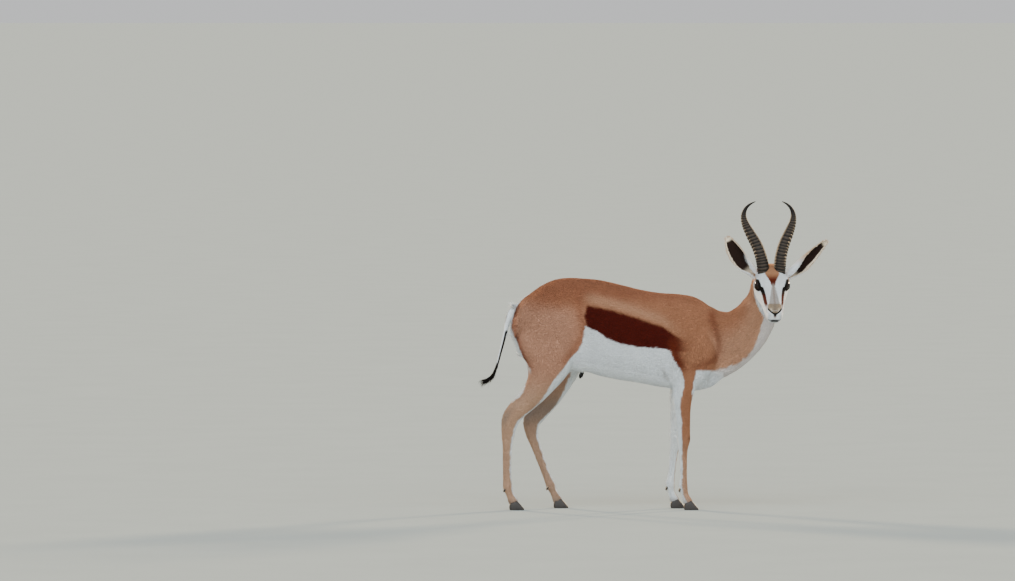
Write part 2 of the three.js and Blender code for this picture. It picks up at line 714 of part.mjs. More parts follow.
const sheathRows = [
  [-250, 510, 9],
  [-256, 492, 8],
  [-260, 480, 6.5],
  [-261, 474, 2],
];
const sheath = limb(
  sheathRows.map(([x, z, thick]) => ({ at: [x, 0, z], depth: thick, width: thick, front: [1, 0, 0] })),
  { sides: 10, rings: 6 },
);
show("sheath", largest(solid(sheath).subtract(torsoClear)), finish.tuft);

export default springbok;
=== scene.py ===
import bpy
import numpy as np
from mathutils import Matrix, Vector


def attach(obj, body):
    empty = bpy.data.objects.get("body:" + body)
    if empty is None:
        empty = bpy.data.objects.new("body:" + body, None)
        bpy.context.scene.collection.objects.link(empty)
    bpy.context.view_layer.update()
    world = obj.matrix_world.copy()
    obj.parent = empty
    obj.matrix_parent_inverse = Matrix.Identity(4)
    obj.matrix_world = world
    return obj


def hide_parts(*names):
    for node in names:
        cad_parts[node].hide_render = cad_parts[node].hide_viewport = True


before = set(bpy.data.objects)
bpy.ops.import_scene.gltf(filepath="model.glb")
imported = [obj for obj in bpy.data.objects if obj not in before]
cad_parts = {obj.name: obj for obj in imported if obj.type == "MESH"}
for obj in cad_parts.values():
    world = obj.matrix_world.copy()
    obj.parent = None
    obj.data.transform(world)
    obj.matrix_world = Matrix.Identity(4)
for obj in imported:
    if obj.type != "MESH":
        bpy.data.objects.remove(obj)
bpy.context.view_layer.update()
random = np.random.default_rng(20)
midline = 49  # the frame's Y of the body's plane of symmetry, in millimetres
leastRadius = 4  # a form counts as no thinner than this where places on it are looked up


def toMetres(points):
    return (points + np.array([0, midline, 0])) * 0.001


def unit(vectors):
    return vectors / np.maximum(np.linalg.norm(vectors, axis=-1, keepdims=True), 1e-9)


def dot(a, b):
    return (a * b).sum(-1)


# 1 at a distance of 0, falling to 0.37 at the reach: e to the power of -(distance / reach) squared.
def bell(distance, reach):
    return np.exp(-((distance / reach) ** 2))


def signedPower(value, power):
    return np.sign(value) * np.abs(value) ** power


# Angles at even steps round one turn.
def roundTurn(count):
    return np.arange(count) * 2 * np.pi / count


# 0 below low, 1 above high, and 3t2 - 2t3 between them.
def ramp(low, high, value):
    t = np.clip((value - low) / (high - low), 0, 1)
    return t * t * (3 - 2 * t)


# A cubic through the values at the given places, with slopes taken from the neighbours:
# (2t3 - 3t2 + 1) a + (t3 - 2t2 + t) s a' + (3t2 - 2t3) b + (t3 - t2) s b', with s the span.
def between(places, values, at):
    places, values = np.array(places, float), np.array(values, float)
    last = len(places) - 1
    index = np.arange(last + 1)
    before, after = np.maximum(index - 1, 0), np.minimum(index + 1, last)
    column = (-1,) + (1,) * (values.ndim - 1)
    slopes = (values[after] - values[before]) / (places[after] - places[before]).reshape(column)
    at = np.clip(at, places[0], places[-1])
    i = np.clip(np.searchsorted(places, at) - 1, 0, last - 1)
    column = at.shape + (1,) * (values.ndim - 1)
    span = (places[i + 1] - places[i]).reshape(column)
    t = ((at - places[i]) / (places[i + 1] - places[i])).reshape(column)
    t2, t3 = t * t, t * t * t
    return (
        (2 * t3 - 3 * t2 + 1) * values[i]
        + (t3 - 2 * t2 + t) * span * slopes[i]
        + (3 * t2 - 2 * t3) * values[i + 1]
        + (t3 - t2) * span * slopes[i + 1]
    )


# A smooth wandering value of about -1 to 1: a sum of sines over the places, in waves of this length.
def wander(points, wave, seed):
    draw = np.random.default_rng(seed)
    total = np.zeros(len(points))
    for weight in (1, 0.8, 0.6, 0.5, 0.4, 0.35):
        direction = unit(draw.normal(size=3)) * 2 * np.pi / (wave * weight)
        total += weight * np.sin(points @ direction + draw.uniform(0, 6.28))
    return total / 1.8


# A closed mesh from rings of points, whose first and last rings are one point each.
def closedMesh(rings):
    count, sides = rings.shape[:2]
    points = np.concatenate([rings[:1, 0], rings[1:-1].reshape(-1, 3), rings[-1:, 0]])
    index = 1 + np.arange((count - 2) * sides).reshape(count - 2, sides)
    beside = np.roll(index, -1, axis=1)
    quads = np.stack([index[:-1], beside[:-1], beside[1:], index[1:]], -1).reshape(-1, 4)
    first = np.stack([np.zeros(sides, int), beside[0], index[0]], -1)
    end = np.stack([np.full(sides, len(points) - 1), index[-1], beside[-1]], -1)
    triangles = np.concatenate([first, end])
    a, b, c = (points[quads[:, k]] - points.mean(0) for k in (0, 1, 2))
    if dot(np.cross(a, b), c).sum() < 0:
        quads, triangles = quads[:, ::-1], triangles[:, ::-1]
    return points, quads, triangles


def link(item):
    bpy.context.scene.collection.objects.link(item)
    return item


# A Blender mesh object in metres from points in millimetres and arrays of quads and triangles.
def meshObject(name, points, quads, triangles, smooth=True):
    mesh = bpy.data.meshes.new(name)
    mesh.vertices.add(len(points))
    mesh.vertices.foreach_set("co", toMetres(points).astype(np.float32).ravel())
    corners = np.concatenate([np.ravel(quads), np.ravel(triangles)]).astype(np.int32)
    sizes = np.concatenate([np.full(len(quads), 4), np.full(len(triangles), 3)])
    mesh.loops.add(len(corners))
    mesh.loops.foreach_set("vertex_index", corners)
    mesh.polygons.add(len(sizes))
    starts = np.concatenate([[0], np.cumsum(sizes)[:-1]]).astype(np.int32)
    mesh.polygons.foreach_set("loop_start", starts)
    mesh.polygons.foreach_set("use_smooth", np.full(len(sizes), smooth))
    mesh.update()
    return link(bpy.data.objects.new(name, mesh))


# Puts points in millimetres into a mesh in metres.
def movePoints(mesh, points):
    mesh.vertices.foreach_set("co", toMetres(points).astype(np.float32).ravel())
    mesh.update()


def pointNormals(mesh):
    normals = np.empty(len(mesh.vertices) * 3)
    mesh.vertices.foreach_get("normal", normals)
    return normals.reshape(-1, 3)


# A body along a straight axis, from stations of place, top, low and middle height and half width.
# Point = middle + width x sin(angle)^(2/power) across + height x cos(angle)^(2/power) up, with one
# power in round for the upper half of the section and one for the lower.
def trunk(stations, sides, rings, round, swell=None, ease=0.5):
    x, top, low, mid, half = np.array(stations, float).T
    share = np.linspace(0, 1, rings + 1)
    eased = ease * (1 - np.cos(np.pi * share)) / 2 + (1 - ease) * share
    at = x[0] + (x[-1] - x[0]) * eased
    angle = roundTurn(sides)
    side, up = np.sin(angle)[None], np.cos(angle)[None]
    centre = between(x, mid, at)[:, None]
    rise = between(x, top, at)[:, None] - centre
    fall = centre - between(x, low, at)[:, None]
    width = between(x, half, at)[:, None]
    power = 2 / np.where(up > 0, round[0], round[1])
    points = np.empty((rings + 1, sides, 3))
    points[..., 0] = at[:, None]
    points[..., 1] = width * signedPower(side, power)
    points[..., 2] = centre + np.where(up > 0, rise, fall) * signedPower(up, power)
    if swell:
        points[..., 1] += np.sign(side) * swell(points, side)
    points[0], points[-1] = points[0].mean(0), points[-1].mean(0)
    path = {
        "centre": np.stack([at, 0 * at, centre[:, 0]], -1),
        "along": np.tile([1.0, 0, 0], (rings + 1, 1)),
        "forward": np.tile([0, 0, 1.0], (rings + 1, 1)),
        "across": np.tile([0, 1.0, 0], (rings + 1, 1)),
        "depth": rise[:, 0],
        "back": fall[:, 0],
        "width": width[:, 0],
    }
    return points, path


# A body along a curved path, from stations of its place, half depth towards front and half width.
# Point = centre + depth x cos(angle) towards the front + width x sin(angle) across.
def limb(at, depth, width, front, sides, rings, ends=0):
    at = np.array(at, float)
    places = np.concatenate([[0], np.cumsum(np.linalg.norm(np.diff(at, axis=0), axis=1))])
    lengths = np.linspace(0, places[-1], rings + 1)
    step = places[-1] / 400
    centre = between(places, at, lengths)
    along = unit(between(places, at, lengths + step) - between(places, at, lengths - step))
    front = np.broadcast_to(np.array(front, float), at.shape)
    forward = between(places, front, lengths)
    forward = unit(forward - along * dot(forward, along)[:, None])
    across = np.cross(along, forward)
    depth, width = between(places, depth, lengths), between(places, width, lengths)
    angle = roundTurn(sides)
    points = (
        centre[:, None]
        + forward[:, None] * (depth[:, None] * np.cos(angle))[..., None]
        + across[:, None] * (width[:, None] * np.sin(angle))[..., None]
    )
    points[0] = centre[0] - along[0] * ends
    points[-1] = centre[-1] + along[-1] * ends
    path = {"centre": centre, "along": along, "forward": forward, "across": across}
    return points, path | {"depth": depth, "back": depth, "width": width}


# The index of the nearest place on a path, worked out for some thousands of points at a time, and the
# offset from there.
def nearestOn(path, points):
    nearest = np.empty(len(points), int)
    for part in np.array_split(np.arange(len(points)), len(points) // 20000 + 1):
        apart = points[part, None] - path["centre"][None]
        nearest[part] = dot(apart, apart).argmin(1)
    return nearest, points - path["centre"][nearest]


# Where points lie on a path: the share of its length, how far they are to the front and across as
# shares of its radius there, and how far out in all.
def locate(path, points):
    nearest, offset = nearestOn(path, points)
    forward = dot(offset, path["forward"][nearest])
    depth = np.where(forward > 0, path["depth"][nearest], path["back"][nearest])
    depth = np.maximum(depth, leastRadius)
    forward = forward / depth
    across = dot(offset, path["across"][nearest]) / np.maximum(path["width"][nearest], leastRadius)
    beyond = dot(offset, path["along"][nearest]) / depth
    reach = np.sqrt(forward**2 + across**2 + beyond**2)
    return {
        "share": nearest / (len(path["centre"]) - 1),
        "forward": forward,
        "across": across,
        "reach": reach,
        "nearest": nearest,
    }


# Torso
torsoStations = [
    (-509, 650, 646, 648, 4), (-500, 708, 600, 650, 38), (-480, 752, 556, 652, 64),
    (-443, 779, 520, 654, 86), (-400, 809, 500, 656, 99), (-353, 829, 496, 656, 104),
    (-299, 835, 496, 654, 102), (-241, 832, 495, 646, 103), (-191, 827, 481, 634, 109),
    (-119, 811, 466, 622, 114), (-47, 793, 455, 610, 112), (25, 781, 441, 600, 106),
    (97, 776, 430, 592, 98), (151, 766, 427, 590, 90), (195, 742, 434, 590, 80),
    (235, 700, 456, 592, 64), (268, 650, 500, 594, 44), (285, 600, 585, 594, 5),
]
# Muscles: place, height, reach along and up, and how far out. Each adds a bell along times a bell up.
muscles = [
    (-395, 640, 95, 110, 9), (-445, 560, 60, 60, 12), (-262, 640, 42, 90, -9),
    (118, 600, 62, 105, 11), (15, 560, 36, 90, -4), (190, 640, 34, 60, -5),
]


def bodySwell(points, side):
    total = 0
    for x, z, reachX, reachZ, out in muscles:
        total = total + out * bell(points[..., 0] - x, reachX) * bell(points[..., 2] - z, reachZ)
    return total * np.abs(side)


torso, torsoPath = trunk(torsoStations, 96, 150, (2.1, 2.15), bodySwell, 0.55)

# Neck: turns from the body's long plane to the head's as it rises. Place, depth, width, front.
neckStations = np.array(
    [
        (128, 0, 588, 150, 78, 0.25, 0, -1), (205, 0, 598, 142, 78, 0.2, 0, -1),
        (270, 0, 612, 114, 73, 0.45, 0, -0.9), (322, 1, 640, 92, 67, 0.7, -0.1, -0.7),
        (362, 3, 683, 79, 62, 0.85, -0.3, -0.45), (390, 5, 735, 68, 59, 0.8, -0.6, -0.3),
        (402, -3, 776, 55, 58, 0.45, -0.88, -0.25), (408, -15, 806, 48, 57, 0.2, -0.85, -0.45),
        (412, -30, 830, 41, 53, 0.1, -0.72, -0.68), (417, -48, 848, 30, 42, 0.08, -0.6, -0.78),
    ]
)
neck, neckPath = limb(
    neckStations[:, :3], neckStations[:, 3], neckStations[:, 4], neckStations[:, 5:], 80, 90, 6
)

# Legs: x, height, half depth and half width down the middle of each.
legRows = {
    "hind_leg_right": [
        (-388, 700, 60, 30), (-381, 640, 104, 46), (-376, 576, 109, 50),
        (-380, 520, 84, 47), (-404, 458, 54, 38), (-446, 403, 41, 30),
        (-488, 362, 36, 24), (-512, 328, 33, 21), (-521, 282, 26, 17),
        (-524, 230, 19, 13.5), (-526, 170, 16.5, 12.5), (-525, 112, 16, 13),
        (-523, 84, 18, 16.5), (-514, 54, 14.5, 15.5), (-503, 30, 18, 17),
        (-497, 18, 14, 13),
    ],
    "hind_leg_left": [
        (-374, 700, 60, 30), (-364, 640, 102, 46), (-350, 576, 106, 50),
        (-334, 520, 84, 47), (-344, 458, 54, 38), (-374, 400, 42, 30),
        (-410, 352, 37, 24), (-435, 316, 33, 21), (-436, 274, 25, 17),
        (-422, 226, 18.5, 13.5), (-402, 170, 16, 12.5), (-380, 112, 15.5, 13),
        (-368, 84, 18, 16.5), (-355, 54, 14.5, 15.5), (-343, 30, 18, 17),
        (-337, 18, 14, 13),
    ],
}
# Both forelegs: x on the right and on the left, height, half depth and half width.
foreRows = [
    (140, 130, 690, 34, 16), (158, 146, 620, 66, 32), (158, 146, 560, 78, 42),
    (138, 128, 505, 62, 38), (116, 108, 457, 46, 32), (105, 98, 410, 38, 27),
    (104, 94, 367, 32, 23.5), (107, 90, 320, 27, 20.5), (109, 86, 277, 24.5, 19.5),
    (110, 85, 252, 24, 19.5), (108, 80, 223, 18.5, 16), (108, 75, 187, 15, 13),
    (109, 71, 151, 14, 12), (109, 67, 115, 14, 12.5), (108, 63, 86, 17, 16),
    (115, 69, 54, 13.5, 15), (125, 79, 30, 17, 17), (131, 85, 18, 13, 13),
]
legRows["foreleg_right"] = [(right, *sizes) for right, _, *sizes in foreRows]
legRows["foreleg_left"] = [(left, *sizes) for _, left, *sizes in foreRows]
# How far from the midline a leg stands at each height.
stance = {
    "hind": ([0, 90, 320, 520, 700], [60, 60, 66, 66, 52]),
    "fore": ([0, 90, 250, 450, 700], [52, 53, 57, 62, 50]),
}
legs = {}
for name, rows in legRows.items():
    x, z, depth, width = np.array(rows, float).T
    sideways = -1 if name.endswith("right") else 1
    kind = "hind" if name.startswith("hind") else "fore"
    y = sideways * between(*stance[kind], z)
    grid, path = limb(np.stack([x, y, z], -1), depth, width, (1, 0, 0.05), 40, 130)
    legs[name] = {"grid": grid, "path": path, "side": sideways, "kind": kind, "toe": (x[-2], y[-2])}
    # 1 where the path's across direction points to the animal's left
    legs[name]["turn"] = np.sign(path["across"][:, 1].mean())
print("body forms made")

# Head, along its own axis: place from the back of the skull, top, low, middle, half width.
headStations = [
    (-6, 6, -8, 0, 6), (6, 26, -32, 0, 34), (30, 40, -56, 0, 49),
    (55, 46, -74, 1, 57), (82, 46, -81, 2, 60), (104, 43, -81, -2, 58.5),
    (126, 37, -76, -10, 52.5), (152, 30, -67, -16, 45), (180, 25, -58, -18, 39),
    (204, 22, -52, -16, 34), (222, 20, -50, -14, 31), (236, 16, -47, -13, 27),
    (244, 8, -38, -13, 20), (247, -10, -12, -11, 1),
]
# Swellings of the face: place, side, height, reach and how far out. Each adds a bell of the distance.
faceForms = [
    (100, 58, 15, 24, 5), (86, 54, 30, 16, 3), (128, 40, 2, 18, -3), (80, 48, -40, 32, 4),
    (150, 28, -34, 22, -3), (212, 24, -6, 13, 2.5),
]
headPlace = np.array([419, -25, 872.0])
headYaw, headPitch = np.radians(4.5), np.radians(42)
ahead = np.array([np.sin(headYaw), -np.cos(headYaw), 0])
leftward = np.array([np.cos(headYaw), np.sin(headYaw), 0])
upward = np.array([0, 0, 1.0])
noseward = ahead * np.cos(headPitch) - upward * np.sin(headPitch)
crownward = ahead * np.sin(headPitch) + upward * np.cos(headPitch)
headAxes = np.stack([noseward, leftward, crownward])


def fromHead(points):
    return np.asarray(points, float) @ headAxes + headPlace


def toHead(points):
    return (points - headPlace) @ headAxes.T


# The same points of the head with those of its right side brought to the left.
def folded(points):
    return np.stack([points[..., 0], np.abs(points[..., 1]), points[..., 2]], -1)


# A place across to the head's left, back from it and up, with the head's turn but not its nod.
def besideHead(origin, across, back, up):
    return origin + leftward * across - ahead * back + upward * up


def faceSwell(points, side):
    total = 0
    for x, y, z, reach, out in faceForms:
        apart = folded(points) - np.array([x, y, z])
        total = total + out * bell(np.linalg.norm(apart, axis=-1), reach)
    return total * np.minimum(1, 3 * np.abs(side))


# The distance from each point to a path of straight pieces.
def fromPath(points, path):
    path = np.array(path, float)
    best = np.full(points.shape[:-1], 1e9)
    for start, end in zip(path[:-1], path[1:]):
        run = end - start
        share = np.clip(((points - start) @ run) / (run @ run), 0, 1)
        apart = points - (start + share[..., None] * run)
        best = np.minimum(best, np.linalg.norm(apart, axis=-1))
    return best


# Eyes: place in the head, the ball's radius, the lids' almond and the turns about Z, X and Z that
# tilt it towards the nose. The skin lies the lid's thickness over the ball, and the socket is the
# radius that it is drawn in to behind it.
eyes = {"place": (104, 45.5, 13), "radius": 18, "long": 33, "high": 21}
eyes |= {"turns": (-28, -72, 24), "lid": 1.8, "socket": 14.5, "soft": 1.2}
eyes |= {"ball": "#0c0807", "iris": "#1c0e07", "pupil": "#030304"}
# The almond is where two circles of this radius overlap.
almondRadius = eyes["long"] ** 2 / (4 * eyes["high"]) + eyes["high"] / 4


def eyeCentre(side):
    return np.array(eyes["place"]) * np.array([1, side, 1])


# The directions in the head of an almond's length and height and of where the eye looks.
def eyeAxes(side):
    first, tip, last = [Matrix.Rotation(np.radians(a), 3, k) for a, k in zip(eyes["turns"], "ZXZ")]
    return np.array(first @ tip @ last).T * np.array([1, side, 1])


# How far inside the almond a point of the head is, in millimetres, how far from the ball's centre,
# and its offset from there.
def inAlmond(points, side):
    long, high, look = eyeAxes(side)
    offset = points - eyeCentre(side)
    along, across = offset @ long, np.abs(offset @ high)
    inside = almondRadius - np.hypot(along, across + almondRadius - eyes["high"] / 2)
    return np.where(offset @ look > 0, inside, -30), np.linalg.norm(offset, axis=-1), offset


# Grooves of the face: a path, its depth and half width.
mouthHalf = [(172, 40, -33), (188, 36.5, -31.5), (206, 32.5, -30), (226, 27, -28.5), (240, 20, -27.5)]
mouthPath = mouthHalf + [(246.5, 0, -26)]
# The nostrils' slits, by how far they are from the middle of the face and their height in the world.
nostrilLine = [(0, 711), (6, 712.5), (12, 717), (18, 722), (23, 728)]
grooves = [
    (mouthPath, 2.4, 1.7),
    ([(247, 0, 2), (248, 0, -25)], 1.3, 1.6),
    ([(120, 45, 5), (136, 41, -2)], 2, 4),
]
# Ridges: the lips' edges, the wings of the nostrils, the feet of the horns and the brows.
ridges = [
    ([(188, 36, -37), (226, 28, -34), (242, 8, -33)], 1.3, 4),
    ([(190, 36, -25), (226, 28, -22), (243, 8, -20)], 1.0, 5),
    ([(220, 24, 18), (232, 21, 15), (240, 12, 12)], 1.6, 3.4),
    ([(46, 29, 38), (58, 30, 40)], 4, 15),
    ([(84, 57, 27), (100, 57, 31), (116, 50, 25)], 2, 7),
]


# The distance of points of the head from a line drawn on the front of the face.
def fromFaceLine(local, line):
    height = headPlace[2] + local @ headAxes[:, 2]
    apart = fromPath(np.stack([np.abs(local[..., 1]), height], -1), line)
    return np.where((local[..., 0] > 205) & (local[..., 2] > -6), apart, 99)


head, headPath = trunk(headStations, 152, 172, (2.15, 2.3), faceSwell)
flat = head.reshape(-1, 3)
axisHeight = between(*np.array(headStations).T[[0, 3]], flat[:, 0])
outward = unit(flat - np.stack([flat[:, 0], 0 * flat[:, 0], axisHeight], -1))
rise = sum(height * bell(fromPath(folded(flat), path), reach) for path, height, reach in ridges)
rise = rise - sum(depth * bell(fromPath(folded(flat), path), reach) for path, depth, reach in grooves)
rise = rise - 3.5 * bell(fromFaceLine(flat, nostrilLine[2:]), 2.4)
flat = flat + outward * rise[:, None]
for side in (-1, 1):
    inside, apart, offset = inAlmond(flat, side)
    short = eyes["radius"] + eyes["lid"] - apart
    reach = apart + eyes["soft"] * np.log1p(np.exp(np.clip(short / eyes["soft"], -30, 30)))
    reach = np.where(apart < 40, reach, apart)
    reach = reach + ramp(-1.5, 0.5, inside) * (eyes["socket"] - reach)
    flat = flat + unit(offset) * (reach - apart)[:, None]
head = flat.reshape(head.shape)
headPath = headPath | {"centre": fromHead(headPath["centre"])}
for key in ("along", "forward", "across"):
    headPath[key] = headPath[key] @ headAxes


# Lids: a rolled rim round the almond, hugging the ball. Its section runs from inside the rim, over
# its crest and down to the skin outside: share of the almond's size, and height over the ball.
lidSection = [(0.9, -2.5), (0.97, 0.3), (1.0, 1.6), (1.1, 2.6), (1.25, 2.4), (1.42, 1.2), (1.4, -2.5)]


def lidRim(side):
    long, high, look = eyeAxes(side)
    angle = roundTurn(72)
    along = eyes["long"] / 2 * np.cos(angle) * (1 - 0.04 * np.sin(angle) ** 2)
    across = np.sqrt(almondRadius**2 - along**2) - almondRadius + eyes["high"] / 2
    across = np.sign(np.sin(angle)) * np.maximum(across, 0.6)
    last = len(lidSection) - 1
    share, height = between(np.arange(last + 1), lidSection, np.linspace(0, last, 15)).T
    a = along[:, None] * share
    b = across[:, None] * share
    c = np.sqrt(np.maximum(eyes["radius"] ** 2 - a * a - b * b, 9))
    ring = unit(a[..., None] * long + b[..., None] * high + c[..., None] * look)
    ring = ring * (eyes["radius"] + height[None, :, None])
    return ring + eyeCentre(side)


# A closed band from a grid that wraps both ways.
def bandMesh(grid):
    count, sides = grid.shape[:2]
    index = np.arange(count * sides).reshape(count, sides)
    after, beside = np.roll(index, -1, 0), np.roll(index, -1, 1)
    quads = np.stack([index, beside, np.roll(after, -1, 1), after], -1).reshape(-1, 4)
    return grid.reshape(-1, 3), quads, np.empty((0, 3), int)


# Ears: a leaf rolled into a cup. Share of its length, radius, half opening and wall.
earRows = [
    (-0.12, 15, 170, 7), (0.0, 17, 165, 6), (0.12, 19, 155, 5), (0.27, 25, 118, 4),
    (0.43, 30, 86, 3.2), (0.6, 31, 68, 2.8), (0.76, 28, 55, 2.6), (0.89, 22, 45, 2.2),
    (0.97, 14, 42, 1.8), (1.0, 6, 34, 1.4),
]
ears = {
    "ear_right": {
        "root": besideHead(headPlace, -41, -14, -31),
        "bend": besideHead(headPlace, -133, 6, 50),
        "tip": besideHead(headPlace, -150, 28, 110),
        "open": ahead - 0.4 * leftward - 0.15 * upward,
    },
    "ear_left": {
        "root": besideHead(headPlace, 47, -14, -31),
        "bend": besideHead(headPlace, 147, 4, 34),
        "tip": besideHead(headPlace, 214, 24, 94),
        "open": ahead + 0.6 * leftward - 0.65 * upward,
    },
}


# The first half turn runs across the back of the ear, the second returns inside the cup. Its middle
# line is (1 - t)^2 root + 2t (1 - t) bend + t^2 tip, and its section an arc of the opening's width.
def earForm(ear, sides, rings):
    at, radius, opening, wall = np.array(earRows, float).T
    share = at[0] + (1 - at[0]) * np.linspace(0, 1, rings + 1)
    t = np.clip(share, 0, 1)[:, None]
    root, bend, tip = ear["root"], ear["bend"], ear["tip"]
    centre = (1 - t) ** 2 * root + 2 * t * (1 - t) * bend + t * t * tip
    along = unit(2 * (1 - t) * (bend - root) + 2 * t * (tip - bend))
    centre = centre + along * np.minimum(share, 0)[:, None] * np.linalg.norm(tip - root)
    face = unit(ear["open"] - along * (along @ ear["open"])[:, None])
    across = np.cross(along, face)
    size = between(at, radius, share)[:, None]
    half = np.radians(between(at, opening, share))[:, None]
    thick = between(at, wall, share)[:, None]
    turn = np.arange(sides)[None] * 2 / sides
    inside = turn > 1
    sweep = np.where(inside, 3 - 2 * turn, 2 * turn - 1)
    r = size - np.where(inside, thick, 0)
    x, z = r * np.sin(sweep * half), 0.55 * size - r * np.cos(sweep * half)
    points = centre[:, None] + across[:, None] * x[..., None] + face[:, None] * z[..., None]
    middle = points.mean(1)
    points[0], points[-1] = middle[0], middle[-1]
    path = {"centre": centre, "along": along, "forward": face, "across": across}
    path |= {"size": size[:, 0], "half": half[:, 0], "thick": thick[:, 0], "share": share}
    return points, path


# Where points lie in an ear: share of its length, share of its sweep, and how deep inside the cup
# they are, from 0 on the back to 1 on the inner face.
def inEar(path, points):
    nearest, offset = nearestOn(path, points)
    size, thick = path["size"][nearest], path["thick"][nearest]
    x = dot(offset, path["across"][nearest])
    z = 0.55 * size - dot(offset, path["forward"][nearest])
    depth = (size - np.hypot(x, z)) / thick
    away = np.maximum(np.abs(depth - 0.5) * thick - thick / 2, 0)
    return {
        "share": path["share"][nearest],
        "sweep": np.arctan2(x, z) / path["half"][nearest],
        "depth": depth,
        "away": away + np.maximum(np.abs(dot(offset, path["along"][nearest])) - 3, 0),
        "nearest": nearest,
    }


for ear in ears.values():
    ear["grid"], ear["path"] = earForm(ear, 72, 52)

# Tail: hangs from the rump and swings back. Place, height, half depth and half width of its core.
tailRows = [
    (-462, 722, 14, 15), (-490, 726, 14, 15), (-511, 706, 12.5, 13.5),
    (-524, 672, 9, 11), (-531, 640, 6.5, 7.5), (-540, 602, 5.5, 6),
    (-552, 556, 4.5, 4.5), (-562, 518, 3.8, 3.8), (-571, 495, 3.4, 3.4),
    (-584, 478, 2.4, 2.4), (-598, 467, 1, 1),
]
x, z, depth, width = np.array(tailRows, float).T
tail, tailPath = limb(np.stack([x, 0 * x, z], -1), depth, width, (1, 0, 0.4), 20, 90)

# Sheath: a short stub under the belly. Place, height and half thickness.
x, z, depth = np.array([(-250, 510, 8.5), (-256, 492, 7.5), (-260, 480, 6), (-261, 475, 2)]).T
sheath, sheathPath = limb(np.stack([x, 0 * x, z], -1), depth, depth, (1, 0, 0), 16, 16)
print("head, ears and tail made")


# The points of a mesh after its modifiers, with its edges and triangles.
def meshArrays(item):
    mesh = bpy.data.meshes.new_from_object(item.evaluated_get(bpy.context.evaluated_depsgraph_get()))
    points = np.empty(len(mesh.vertices) * 3)
    mesh.vertices.foreach_get("co", points)
    edges = np.empty(len(mesh.edges) * 2, int)
    mesh.edges.foreach_get("vertices", edges)
    return mesh, points.reshape(-1, 3) * 1000 - np.array([0, midline, 0]), edges.reshape(-1, 2)


# Each point moves towards the mean of its neighbours, by its own share.
def relax(points, edges, weight, rounds):
    size = len(points)
    count = np.maximum(np.bincount(edges.ravel(), minlength=size), 1)
    for _ in range(rounds):
        columns = [
            np.bincount(edges[:, 0], points[edges[:, 1], k], size)
            + np.bincount(edges[:, 1], points[edges[:, 0], k], size)
            for k in range(3)
        ]
        mean = np.stack(columns, -1) / count[:, None]
        points = points + weight[:, None] * (mean - points)
    return points


def drop(*items):
    for item in items:
        bpy.data.objects.remove(item, do_unlink=True)


# The skin's remesh step in metres, and the rounds of smoothing in creases and behind the skull.
skinForm = {"voxel": 0.0055, "creaseRounds": 24, "napeRounds": 20}

# The body: torso, neck and legs joined and rebuilt as one even mesh.
grids = [torso, neck] + [leg["grid"] for leg in legs.values()]
parts = [closedMesh(grid) for grid in grids]
offsets = np.cumsum([0] + [len(p[0]) for p in parts])
bodyItem = meshObject(
    "body",
    np.concatenate([p[0] for p in parts]),
    np.concatenate([p[1] + n for p, n in zip(parts, offsets)]),
    np.concatenate([p[2] + n for p, n in zip(parts, offsets)]),
)
remesh = bodyItem.modifiers.new("remesh", "REMESH")
remesh.mode = "VOXEL"
remesh.voxel_size = skinForm["voxel"]
mesh, points, edges = meshArrays(bodyItem)

# Its creases, where a leg or the neck leaves the torso, are smoothed more than the rest.
paths = {"torso": torsoPath, "neck": neckPath, "head": headPath}
paths |= {name: leg["path"] for name, leg in legs.items()}
paths |= {"tail": tailPath, "sheath": sheathPath}
reaches = {name: locate(paths[name], points)["reach"] for name in ("torso", "neck", *legs)}
crease = bell(reaches["torso"] - 1, 0.2) * bell(reaches["neck"] - 1, 0.2)
for name in legs:
    crease = np.maximum(crease, bell(reaches["torso"] - 1, 0.25) * bell(reaches[name] - 1, 0.3))
points = relax(points, edges, 0.25 + 0.35 * crease, 2)
points = relax(points, edges, 0.6 * np.clip(crease * 1.4 - 0.2, 0, 1), skinForm["creaseRounds"])
movePoints(mesh, points)
bodyItem.modifiers.clear()
bodyItem.data = mesh

# The head, tail, sheath, ears and lids are fused to it.
extras = [meshObject("part", *closedMesh(grid)) for grid in (fromHead(head), tail, sheath)]
extras += [meshObject("part", *closedMesh(ear["grid"])) for ear in ears.values()]
for side in (-1, 1):
    rim = fromHead(lidRim(side))
    extras.append(meshObject("part", *bandMesh(rim if side > 0 else rim[::-1])))
for extra in extras:
    fuse = bodyItem.modifiers.new("fuse", "BOOLEAN")
    fuse.operation, fuse.solver, fuse.object = "UNION", "MANIFOLD", extra
mesh, points, edges = meshArrays(bodyItem)
drop(bodyItem, *extras)
print("skin fused:", len(points), "points")


# What a point belongs to: its place on each form, how far it belongs to each as shares that add up
# to 1, and the way the coat lies there. It lies with the path of a form where the number is 1.
lieAlong = {"neck": -1, "head": -1, "tail": 1, "sheath": 1} | {name: 1 for name in legs}


